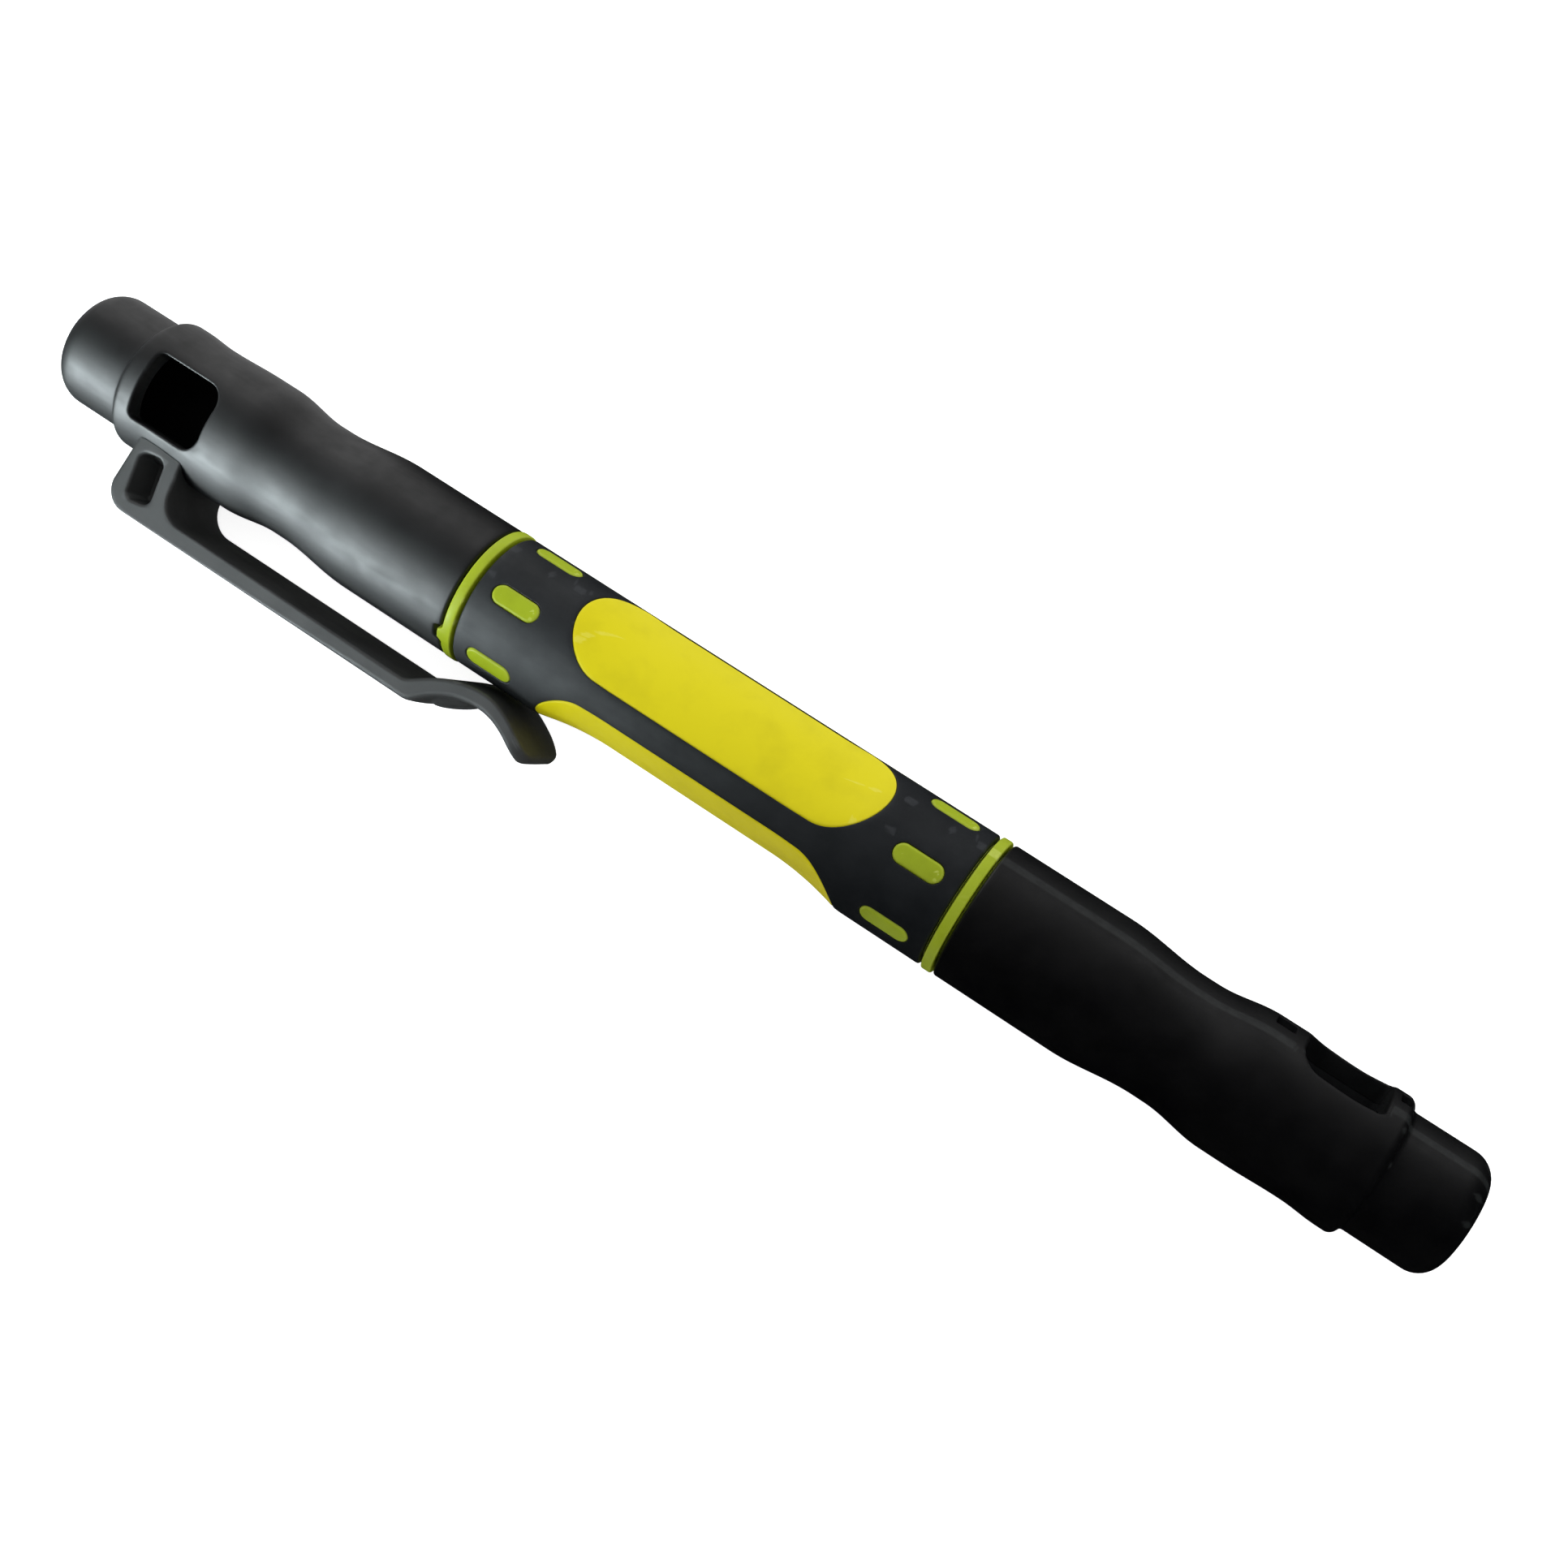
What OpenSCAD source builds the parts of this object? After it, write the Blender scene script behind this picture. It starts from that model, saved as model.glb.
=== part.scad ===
// Double-ended banknote tester pen: a marker nib under the clip cap and an
// ultraviolet lamp under the plain cap, joined by a ribbed grip barrel.
// The pen lies along X, the clip cap is at -X and the clip points to -Y.
// The pen rests on its two rings and on the clip's lower edge, at z = 0.

/* [Overall] */
// Length over both caps
pen_length = 135; // [130:0.5:140]
// Outside radius of the two coloured rings, the widest part of the barrel
ring_r = 6.1; // [6.05:0.05:6.2]
// Outside radius of the grip sleeve
grip_r = 6.0; // [5.95:0.05:6.05]
// Half length of the middle section, to the outer edge of each ring
ring_x = 24.3; // [24:0.1:25]
// Width of each ring along the pen
ring_w = 1.3; // [1:0.1:1.6]

/* [Caps] */
// Radius of the cap's round mouth end
cap_r = 6.03; // [5.95:0.01:6.05]
// Radius of the cap's waist
waist_r = 5.38; // [5.3:0.02:5.6]
// Radius of the cap's hood beside the window
hood_r = 5.86; // [5.8:0.02:5.95]
// Radius of the hood's flared end
flare_r = 6.04; // [5.98:0.01:6.06]
// Radius of the plain stub at the end
stub_r = 5.2; // [5.05:0.05:5.3]
// Length of the plain stub
stub_len = 7.5; // [7:0.25:8]
// Corner radius of the stub's end
stub_round = 2.1; // [1:0.1:2.3]
// Radius of the bore at the cap's mouth
mouth_bore_r = 4.9; // [4.85:0.05:5]
// Radius of the bore past the waist
deep_bore_r = 4.5; // [4.45:0.05:4.55]
// Thickness of the cap's end wall
cap_end_t = 1.7; // [1.2:0.1:2.2]

/* [Cap windows] */
// Length of the window along the pen
window_len = 7.1; // [6.5:0.1:7.5]
// Width of the window across the pen
window_w = 6.1; // [5.5:0.1:6.3]
// Middle of the window, measured from the middle of the pen
window_x = 54.45; // [54:0.05:55]
// Large corner radius, on the mouth side of the window
window_round_big = 1.8; // [1.2:0.1:2.2]
// Small corner radius, on the stub side of the window
window_round_small = 0.5; // [0.3:0.1:0.8]
// Turn of the lamp cap's window from straight up, towards +Y
lamp_window_turn = 66; // [60:1:70]

/* [Clip] */
// Width of the clip across
clip_w = 8.6; // [8:0.1:9]
// Thickness of the clip's arm
clip_t = 1.5; // [1.3:0.1:1.6]
// Distance from the pen's axis to the arm's outer face
clip_out_r = 10.5; // [10.3:0.1:10.8]
// Closest distance from the axis to the clip's toe
clip_toe_r = 6.3; // [6.25:0.05:6.5]
// Where the toe is closest, from the middle of the pen
clip_toe_x = 18.5; // [18:0.1:19]
// Where the clip ends, from the middle of the pen
clip_end_x = 12.9; // [12.5:0.1:13.5]
// Outer side of the clip's foot, from the middle of the pen
foot_x = 57.0; // [56.8:0.1:57.3]
// Thickness of the clip's foot along the pen
foot_t = 5.3; // [5:0.1:5.6]

/* [Grip] */
// Turn of the first grip panel from straight up, towards +Y
panel_turn = 34; // [30:1:38]
// Half length of a grip panel
panel_half_len = 14.75; // [14:0.25:15]
// Half width of a grip panel, across the pen
panel_half_w = 4.4; // [4.2:0.05:4.5]
// Distance from the axis to the middle of a panel's hollow
scoop_r = 5.02; // [4.9:0.02:5.2]
// Half length of the level floor of a panel's hollow
scoop_flat = 8; // [6:0.5:9]
// Length of the small raised dashes
dash_len = 4.5; // [4:0.1:5]
// Width of the small raised dashes
dash_w = 1.8; // [1.6:0.1:2]
// Middle of a dash, measured from the middle of the pen
dash_x = 19.3; // [19:0.1:19.5]

/* [Marker] */
// Radius of the felt nib
nib_r = 1.15; // [1:0.05:1.3]
// Where the nib ends, from the middle of the pen
nib_tip_x = 47; // [46:0.5:47.5]
// Radius of the fibre ink store
store_r = 3.35; // [3.2:0.05:3.4]

/* [Lamp] */
// Radius of a button cell
cell_r = 3.95; // [3.85:0.01:3.96]
// Height of a button cell
cell_h = 3.6; // [3.5:0.05:3.6]
// Radius of the lamp's round dome
led_r = 2.5; // [2.4:0.05:2.5]
// Travel of the lamp's push button
button_travel = 0.4; // [0.3:0.05:0.5]

/* [Hidden] */

$fn = 96;
eps = 0.01;
run_gap = 0.05;                 // running clearance on a radius
end_x = pen_length / 2;         // outer end of each cap
hood_end_x = end_x - stub_len;  // step from the hood to the stub
panel_step = 120;
dash_step = 60;

// Section of the clip against the table: its outer lower corner touches z = 0
corner_reach = sqrt(pow(clip_out_r, 2) + pow(clip_w / 2, 2));
clip_droop = asin(ring_r / corner_reach) - atan(clip_w / 2 / clip_out_r);
clip_turn = -90 - clip_droop;
clip_window_turn = clip_turn + 90;
clip_reach_y = clip_out_r * cos(clip_droop) + clip_w / 2 * sin(clip_droop);
axis_y = (clip_reach_y - ring_r) / 2;
axis_z = ring_r;

// Cap shape stations, measured from the middle of the pen
waist_from_x = 35;
waist_x = 42.2;
waist_to_x = 43.2;
hood_from_x = 48.4;
hood_level_x = 50.4;
hood_dip_x = 55.3;
flare_from_x = 55.5;
flare_x = 58.6;
flare_round = 0.7;
hood_rise = 0.14;                // extra radius where the hood starts
mouth_ease = 0.15;               // eased edge of the mouth
bore_step_x = 35;
blend_steps = 8;

// Snap fit of the caps on the barrel
tenon_r = mouth_bore_r - run_gap;
tenon_x = 31;
snap_x = 29;
snap_h = 0.03;
seal_wire_r = 0.24;
seal_mid_r = tenon_r - seal_wire_r + 0.01;
nib_seal_x = 33.6;
lamp_seal_x = 26.6;
key_turn = -55;
key_w = 1.2;
key_h = 0.45;

// Barrel wall stations
core_thin_r = 4.2;              // core radius under the panels
core_wide_r = 5.2;              // core radius under the dashes
core_step_x = 15.6;
store_bore_r = 3.5;
lamp_bore_r = 4.6;
lamp_bore_x = 15.9;
lamp_seat_x = ring_x - ring_w;  // face where the lamp body meets the grip
ring_ease = 0.15;               // eased edges of the rings

// Marker stations
press_gap = 0.02;
nib_root_x = 29.2;
store_x = 25.3;
store_end_x = 5.6;

// Panel hollows: each is turned about its own axis beside the pen's axis
panel_edge_turn = 49;
scoop_axis = (pow(grip_r, 2) - pow(scoop_r, 2)) / (2 * (scoop_r - grip_r * cos(panel_edge_turn)));
scoop_axis_r = scoop_axis + scoop_r;
scoop_end_rise = grip_r - scoop_r;
scoop_end_run = panel_half_len + 0.25 - scoop_flat;
scoop_end_r = (pow(scoop_end_run, 2) + pow(scoop_end_rise, 2)) / (2 * scoop_end_rise);
panel_t = 0.6;

// Clip stations in the plane of its arm, x along the pen, y out from the axis
clip_in_r = clip_out_r - clip_t;
toe_curve_r = 8;
toe_turn = 35;
foot_round = 2.1;
foot_fillet = 2.4;
foot_gap = 0.06;
pocket_mid = [54.3, 7.0];
pocket_w = 2.35;
pocket_h = 4.2;
pocket_lean = 9;
pocket_round = 0.75;
pocket_web = 2.2;               // wall left between the two pockets
tip_round = 1.9;
lift_pad_mid = [21.3, 8.43];    // on the outer face of the slope to the toe
lift_pad_lean = 25.5;
lift_pad_r = 2.1;
lift_pad_half_w = 3.0;
lift_pad_h = 0.85;

// Latches of the liner, one in a slot at each end of the lamp cap's window
latch_spans = [[48.1, 49.75], [58.65, 59.7]];
latch_w = 1.5;
latch_gap = 0.05;
latch_top_r = 5.2;
liner_x = [47.9, 60.4];
liner_r = deep_bore_r - 0.03;
liner_in_r = 3.7;

// Lamp stations
head_r = 4.15;
head_x = 47;
cell_bore_r = 4.0;
cell_from_x = 18.9;
cell_to_x = cell_from_x + 3 * cell_h;
head_bore_r = 3.4;
board_x = 31.4;
board_t = 1.0;
led_flange_x = 39;
lamp_body_x = 16;
led_flange_r = 2.9;
led_tip_x = 47.6;
led_bore_r = led_r + run_gap;
lead_pitch = 2.54;
lead_r = 0.24;
bezel_x = 44.6;
bezel_seat_r = 3.35;
button_x = 36;
button_r = 1.5;
button_top_r = 4.45;
button_floor_r = 3.3;
button_turn = panel_turn;

// ---------- helpers ----------

// smooth step from a to b for t from 0 to 1
function ease(a, b, t) = a + (b - a) * (1 - cos(180 * t)) / 2;

// points of a smooth step between two stations of a turned outline
function ease_run(x0, r0, x1, r1) =
    [for (i = [0:blend_steps]) [ease_r(r0, r1, i), x0 + (x1 - x0) * i / blend_steps]];
function ease_r(r0, r1, i) = ease(r0, r1, i / blend_steps);

// points of a quarter round from radius r0 on the side to the end face at x1
function corner_run(r0, x1, round) =
    [for (i = [0:blend_steps]) [
        r0 - round + round * cos(90 * i / blend_steps),
        x1 - round + round * sin(90 * i / blend_steps)
    ]];

// the pen's axis, with local Z along the pen
module on_axis() {
    translate([0, axis_y, axis_z])
        rotate([0, 90, 0])
            children();
}

// the pen's axis seen from the clip cap's end, so that x counts outwards there
module on_axis_mirrored() {
    on_axis()
        mirror([0, 0, 1])
            children();
}

// turn local +X to the angle turn from straight up, towards +Y
module at_turn(turn) {
    rotate([0, 0, 180 - turn])
        children();
}

// a flat shape, x along the pen and y across it, pushed outwards from r0 to r1
module radial_prism(turn, r0, r1) {
    at_turn(turn)
        translate([r0, 0, 0])
            rotate([0, 90, 0])
                rotate([0, 0, 180])
                    linear_extrude(r1 - r0)
                        children();
}

// a side outline, x along the pen and y out from the axis, given a width
module side_prism(turn, width) {
    at_turn(turn)
        rotate([-90, -90, 0])
            translate([0, 0, -width / 2])
                linear_extrude(width)
                    children();
}

// ring or tube from x0 to x1
module tube(r_out, r_in, x0, x1) {
    translate([0, 0, x0])
        difference() {
            cylinder(r = r_out, h = x1 - x0);
            translate([0, 0, -eps])
                cylinder(r = r_in, h = x1 - x0 + 2 * eps);
        }
}

// round rubber ring with its middle at x, and the groove it sits in
module seal_ring(x) {
    translate([0, 0, x])
        rotate_extrude()
            translate([seal_mid_r, 0])
                circle(seal_wire_r, $fn = 24);
}

module seal_groove(x) {
    half_w = seal_wire_r + 0.08;
    tube(tenon_r + 1, seal_mid_r - seal_wire_r - 0.01, x - half_w, x + half_w);
}

// plain round bar from x0 to x1
module bar(r, x0, x1) {
    translate([0, 0, x0])
        cylinder(r = r, h = x1 - x0);
}

// slot with two round ends, its middle at x
module slot_shape(x, half_len, half_w) {
    straight = half_len - half_w;
    translate([x - straight, -half_w])
        square([2 * straight, 2 * half_w]);
    for (side = [-1, 1])
        translate([x + side * straight, 0])
            circle(half_w);
}

// window outline: big corners on the mouth side, small ones on the stub side
module window_shape() {
    x0 = window_x - window_len / 2;
    x1 = window_x + window_len / 2;
    half_w = window_w / 2;
    big = window_round_big;
    small = window_round_small;
    translate([x0 + big, -half_w])
        square([window_len - big - small, window_w]);
    translate([x0, -half_w + big])
        square([big + eps, window_w - 2 * big]);
    translate([x1 - small - eps, -half_w + small])
        square([small + eps, window_w - 2 * small]);
    for (side = [-1, 1]) {
        translate([x0 + big, side * (half_w - big)])
            circle(big);
        translate([x1 - small, side * (half_w - small)])
            circle(small);
    }
}

// ---------- caps ----------

// outside of a cap as a solid, grown by grow, its mouth at ring_x
module cap_solid(grow = 0) {
    outline = concat(
        [[0, ring_x], [cap_r - mouth_ease + grow, ring_x]],
        [[cap_r + grow, ring_x + mouth_ease]],
        ease_run(waist_from_x, cap_r + grow, waist_x, waist_r + grow),
        ease_run(waist_to_x, waist_r + grow, hood_from_x, hood_r + hood_rise + grow),
        ease_run(hood_level_x, hood_r + hood_rise + grow, hood_dip_x, hood_r + grow),
        ease_run(flare_from_x, hood_r + grow, flare_x, flare_r + grow),
        corner_run(flare_r + grow, hood_end_x, flare_round),
        [[stub_r + grow, hood_end_x]],
        corner_run(stub_r + grow, end_x, stub_round),
        [[0, end_x]]
    );
    rotate_extrude()
        polygon(outline);
}

// bore of a cap, with a short lead-in at the mouth
module cap_bore() {
    lead = 0.3;
    rotate_extrude()
        polygon([
            [0, ring_x - 1],
            [mouth_bore_r + lead, ring_x - 1],
            [mouth_bore_r + lead, ring_x],
            [mouth_bore_r, ring_x + lead],
            [mouth_bore_r, bore_step_x],
            [deep_bore_r, bore_step_x + 1],
            [deep_bore_r, end_x - cap_end_t - 1],
            [deep_bore_r - 1, end_x - cap_end_t],
            [0, end_x - cap_end_t]
        ]);
}

// a cap with its bore and its window
module cap_shell(window_turn) {
    difference() {
        cap_solid();
        cap_bore();
        radial_prism(window_turn, 2, 8)
            window_shape();
    }
}

module clip_cap() {
    color("#2b2e2f")
        on_axis_mirrored()
            difference() {
                cap_shell(clip_window_turn);
                // notch for the ring's key
                at_turn(key_turn)
                    translate([mouth_bore_r - 0.5, -key_w / 2 - 0.1, ring_x - 1])
                        cube([3, key_w + 0.2, 1 + key_h + 0.1]);
            }
}

// the two slots that hold the liner's latches, each side moved in by gap
module latch_slots(r0, gap) {
    for (span = latch_spans)
        radial_prism(lamp_window_turn, r0, 8)
            translate([span[0] + gap, -latch_w / 2 + gap])
                square([span[1] - span[0] - 2 * gap, latch_w - 2 * gap]);
}

module lamp_cap() {
    color("#1b1d1e")
        on_axis()
            difference() {
                cap_shell(lamp_window_turn);
                latch_slots(3, 0);
            }
}

// soft cup that the nib is sealed in
module seal_cup() {
    cup_r = deep_bore_r - 0.03;
    mouth_x = 36.2;
    floor_x = 49.9;
    cup_in_r = 3.6;
    lip_r = 3.42;                // the lip grips the nib holder's seal ring
    wall = 0.8;
    color("#d9d9d2")
        on_axis_mirrored()
            rotate_extrude()
                polygon(concat(
                    [[lip_r, mouth_x], [cup_r, mouth_x], [cup_r, floor_x - wall / 2]],
                    [[cup_r - wall / 2, floor_x], [0, floor_x], [0, floor_x - wall]],
                    [[cup_in_r - 1.2, floor_x - wall], [cup_in_r, floor_x - 1.2 - wall]],
                    [[cup_in_r, mouth_x + 1.6], [lip_r, mouth_x + 1.1]]
                ));
}

// guard ring inside the lamp cap, latched beside the window
module lamp_cap_liner() {
    lead = 0.5;
    color("#2a2c2e")
        on_axis()
            difference() {
                union() {
                    tube(liner_r, liner_in_r, liner_x[0], liner_x[1]);
                    intersection() {
                        latch_slots(liner_in_r + 0.2, latch_gap);
                        bar(latch_top_r, liner_x[0], liner_x[1]);
                    }
                }
                radial_prism(lamp_window_turn, 1, 8)
                    window_shape();
                // open side towards the lamp
                translate([0, 0, liner_x[0] - 0.1])
                    cylinder(r1 = liner_in_r + lead, r2 = liner_in_r, h = lead + 0.1);
            }
}

// ---------- clip ----------

// side outline of the arm and its toe, a bar of even thickness
module arm_outline() {
    toe_mid_y = clip_toe_r + toe_curve_r;
    bend_x = clip_toe_x + toe_curve_r * sin(toe_turn);
    bend_y = toe_mid_y - toe_curve_r * cos(toe_turn);
    // straight arm, to where the slope to the toe meets it
    slope_run = (clip_in_r - bend_y) / tan(toe_turn);
    arm_end_x = bend_x + slope_run;
    wedge_r = 2 * toe_curve_r;
    translate([arm_end_x, clip_in_r])
        square([foot_x - foot_t / 2 - arm_end_x, clip_t]);
    // knee between the arm and the slope
    translate([arm_end_x, clip_in_r])
        intersection() {
            circle(clip_t);
            translate([-clip_t, 0])
                square([clip_t + eps, clip_t]);
        }
    // slope down to the toe
    translate([bend_x, bend_y])
        rotate(toe_turn)
            square([slope_run / cos(toe_turn) + eps, clip_t]);
    // curved toe
    intersection() {
        translate([clip_toe_x, toe_mid_y])
            difference() {
                circle(toe_curve_r, $fn = 180);
                circle(toe_curve_r - clip_t, $fn = 180);
            }
        translate([clip_toe_x, toe_mid_y])
            polygon([
                [0, 0],
                [-wedge_r * sin(toe_turn), -wedge_r * cos(toe_turn)],
                [wedge_r * sin(toe_turn), -wedge_r * cos(toe_turn)]
            ]);
    }
    // flared tip with a round end
    tip_len = (clip_toe_x - toe_curve_r * sin(toe_turn) - clip_end_x) / cos(toe_turn) - clip_t / 2;
    translate([clip_toe_x - toe_curve_r * sin(toe_turn), bend_y])
        rotate(180 - toe_turn) {
            translate([-eps, -clip_t])
                square([tip_len + eps, clip_t]);
            translate([tip_len, -clip_t / 2])
                circle(clip_t / 2);
        }
}

// side outline of the foot: a round outer corner and a hollow inner corner
module foot_outline() {
    foot_in_x = foot_x - foot_t;
    low_y = stub_r - 2;          // well inside the hood, which cuts the foot's root
    translate([foot_in_x, low_y])
        square([foot_t, clip_out_r - foot_round - low_y]);
    translate([foot_in_x, low_y])
        square([foot_t - foot_round, clip_out_r - low_y]);
    translate([foot_x - foot_round, clip_out_r - foot_round])
        circle(foot_round);
    difference() {
        translate([foot_in_x - foot_fillet, clip_in_r - foot_fillet])
            square([foot_fillet + eps, foot_fillet + eps]);
        translate([foot_in_x - foot_fillet, clip_in_r - foot_fillet])
            circle(foot_fillet);
    }
}

// leaning outline of the pocket in each side of the foot
module pocket_outline() {
    translate(pocket_mid)
        rotate(pocket_lean)
            for (turned = [0, 1]) {
                trim = turned == 1 ? [pocket_w, pocket_h - 2 * pocket_round]
                                   : [pocket_w - 2 * pocket_round, pocket_h];
                square(trim, center = true);
                for (sx = [-1, 1])
                    translate([
                        sx * (pocket_w / 2 - pocket_round),
                        (2 * turned - 1) * (pocket_h / 2 - pocket_round)
                    ])
                        circle(pocket_round);
            }
}

// plan outline of the whole clip: straight sides and a rounded tip
module clip_plan() {
    half_w = clip_w / 2;
    translate([clip_end_x + tip_round, -half_w])
        square([foot_x - clip_end_x, clip_w]);
    translate([clip_end_x, -half_w + tip_round])
        square([tip_round + 1, clip_w - 2 * tip_round]);
    for (side = [-1, 1])
        translate([clip_end_x + tip_round, side * (half_w - tip_round)])
            circle(tip_round);
}

// the two pockets of the foot, one in each side, with a web between them
module foot_pockets() {
    difference() {
        side_prism(clip_turn, clip_w + 2)
            pocket_outline();
        side_prism(clip_turn, pocket_web)
            translate(pocket_mid)
                circle(pocket_h);
    }
}

// low round pad on the slope to the toe, to lift the clip by
module lift_pad() {
    arc_r = (pow(lift_pad_r, 2) + pow(lift_pad_h, 2)) / (2 * lift_pad_h);
    intersection() {
        side_prism(clip_turn, 2 * lift_pad_half_w)
            translate(lift_pad_mid)
                rotate(lift_pad_lean)
                    intersection() {
                        translate([0, lift_pad_h - arc_r])
                            circle(arc_r);
                        translate([-lift_pad_r, -clip_t / 2])
                            square([2 * lift_pad_r, clip_t / 2 + lift_pad_h]);
                    }
        radial_prism(clip_turn, clip_toe_r, clip_out_r)
            translate([lift_pad_mid[0], 0])
                circle(lift_pad_half_w);
    }
}

module pocket_clip() {
    color("#3a3c3e")
        on_axis_mirrored()
            difference() {
                union() {
                    intersection() {
                        side_prism(clip_turn, clip_w)
                            union() {
                                arm_outline();
                                foot_outline();
                            }
                        radial_prism(clip_turn, 2, 14)
                            clip_plan();
                    }
                    lift_pad();
                }
                cap_solid(foot_gap);
                foot_pockets();
            }
}

// ---------- barrel ----------

// turned form whose outside is the hollow of one grip panel, sunk by depth
module scoop_form(turn, depth = 0) {
    at_turn(turn)
        translate([-scoop_axis, 0, 0])
            rotate_extrude($fn = 180)
                difference() {
                    translate([0, -ring_x])
                        square([scoop_axis_r + scoop_end_rise + 2, 2 * ring_x]);
                    translate([scoop_axis_r - depth, -scoop_flat])
                        square([8, 2 * scoop_flat]);
                    for (side = [-1, 1])
                        translate([scoop_axis_r + scoop_end_r, side * scoop_flat])
                            circle(scoop_end_r + depth, $fn = 180);
                }
}

module all_scoops() {
    intersection() {
        scoop_form(panel_turn);
        scoop_form(panel_turn + panel_step);
        scoop_form(panel_turn + 2 * panel_step);
    }
}

// all twelve dashes, from inside r0 out to r1, each grown by grow
module dashes(r0, r1, grow) {
    for (k = [0:5], side = [-1, 1])
        radial_prism(panel_turn - 30 + dash_step * k, r0, r1)
            slot_shape(side * dash_x, dash_len / 2 + grow, dash_w / 2 + grow);
}

// coloured tube that carries the ring, the dashes and the marker's parts
module barrel_core() {
    dash_top_r = grip_r - 0.04;
    color("#a9c42e")
        on_axis()
            difference() {
                union() {
                    bar(core_thin_r, -ring_x, lamp_seat_x - 0.02);
                    bar(core_wide_r, -ring_x, -core_step_x);
                    bar(core_wide_r, core_step_x, lamp_seat_x - 0.02);
                    intersection() {
                        dashes(core_wide_r - 0.3, grip_r + 1, -0.02);
                        bar(dash_top_r, -ring_x, ring_x);
                    }
                    // ring at the clip cap's mouth, its two edges eased
                    rotate_extrude()
                        polygon([
                            [0, -ring_x + 0.03],
                            [ring_r - ring_ease, -ring_x + 0.03],
                            [ring_r, -ring_x + 0.03 + ring_ease],
                            [ring_r, -ring_x + ring_w - ring_ease],
                            [ring_r - ring_ease, -ring_x + ring_w],
                            [0, -ring_x + ring_w]
                        ]);
                    // tenon with its snap bead
                    rotate_extrude()
                        polygon([
                            [0, -tenon_x],
                            [tenon_r - 0.4, -tenon_x],
                            [tenon_r, -tenon_x + 0.4],
                            [tenon_r, -snap_x - 0.5],
                            [tenon_r + snap_h, -snap_x],
                            [tenon_r, -snap_x + 0.5],
                            [tenon_r, -ring_x + 0.1],
                            [0, -ring_x + 0.1]
                        ]);
                    // key that stops the clip cap turning
                    at_turn(key_turn)
                        translate([tenon_r - 0.3, -key_w / 2, -ring_x - key_h + 0.05])
                            cube([ring_r - tenon_r + 0.1, key_w, key_h + 0.2]);
                }
                bar(store_bore_r, -tenon_x - 1, lamp_bore_x + 1);
                bar(lamp_bore_r, lamp_bore_x, ring_x);
            }
}

// soft black sleeve with the openings for the panels and the dashes
module grip_sleeve() {
    sleeve_end = ring_x - ring_w - 0.06;
    color("#26282b")
        on_axis()
            difference() {
                intersection() {
                    bar(grip_r, -sleeve_end, sleeve_end);
                    all_scoops();
                }
                bar(core_thin_r + 0.01, -sleeve_end - 1, sleeve_end + 1);
                bar(core_wide_r + 0.01, -sleeve_end - 1, -core_step_x + 0.02);
                bar(core_wide_r + 0.01, core_step_x - 0.02, sleeve_end + 1);
                dashes(core_wide_r - 0.5, grip_r + 1, 0);
                for (k = [0:2])
                    panel_pocket(panel_turn + panel_step * k, panel_t + 0.02, 0);
            }
}

// room of one inlay in the sleeve: depth deep, its outline eased in by inset
module panel_pocket(turn, depth, inset) {
    difference() {
        radial_prism(turn, 2, grip_r + 1)
            slot_shape(0, panel_half_len - inset, panel_half_w - inset);
        scoop_form(turn, depth);
    }
}

// bright inlay in one hollow of the sleeve
module grip_panel(turn) {
    color("#dcd71c")
        on_axis()
            intersection() {
                bar(grip_r, -ring_x, ring_x);
                scoop_form(turn);
                panel_pocket(turn, panel_t, 0.02);
            }
}

module grip_panel_1() {
    grip_panel(panel_turn);
}

module grip_panel_2() {
    grip_panel(panel_turn + panel_step);
}

module grip_panel_3() {
    grip_panel(panel_turn + 2 * panel_step);
}

// ---------- marker ----------

// nose that holds the nib, pressed into the barrel's tenon
module nib_holder() {
    plug_x = 25.5;
    plug_r = store_bore_r - press_gap;
    flange_x = tenon_x + 0.02;
    lip_x = tenon_x + 1.2;
    lip_r = 4.6;
    seal_to_x = 34.8;
    neck_r = 3.35;
    neck_x = [35.6, 38.4];
    cone_x = 43.2;
    cone_r = [3.1, 2.0];
    mouth_r = 1.7;
    mouth_x = cone_x + 0.4;
    store_seat_r = 2.6;
    color("#e6e4dc")
        on_axis_mirrored()
            difference() {
                rotate_extrude()
                    polygon([
                        [0, plug_x],
                        [plug_r, plug_x],
                        [plug_r, flange_x],
                        [tenon_r - 0.45, flange_x],
                        [tenon_r - 0.3, lip_x],
                        [lip_r, lip_x + 0.3],
                        [lip_r, seal_to_x],
                        [lip_r - 0.4, seal_to_x + 0.4],
                        [neck_r, neck_x[0]],
                        [neck_r, neck_x[1]],
                        [cone_r[0], neck_x[1] + 0.5],
                        [cone_r[1], cone_x],
                        [mouth_r, mouth_x],
                        [0, mouth_x]
                    ]);
                // seat of the ink store's front end, and the nib's bore
                bar(store_seat_r, plug_x - 1, tenon_x + 1);
                bar(nib_r + 0.01, plug_x, mouth_x + 1);
                seal_groove(nib_seal_x);
            }
}

// felt nib with a bullet point
module felt_nib() {
    point_len = 1.6;
    point_x = nib_tip_x - point_len;
    point_step = 15;
    color("#c9a45c")
        on_axis_mirrored()
            rotate_extrude()
                polygon(concat(
                    [[0, nib_root_x], [nib_r, nib_root_x], [nib_r, point_x]],
                    [for (i = [1:6]) [
                        nib_r * cos(point_step * i),
                        point_x + point_len * sin(point_step * i)
                    ]]
                ));
}

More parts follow.
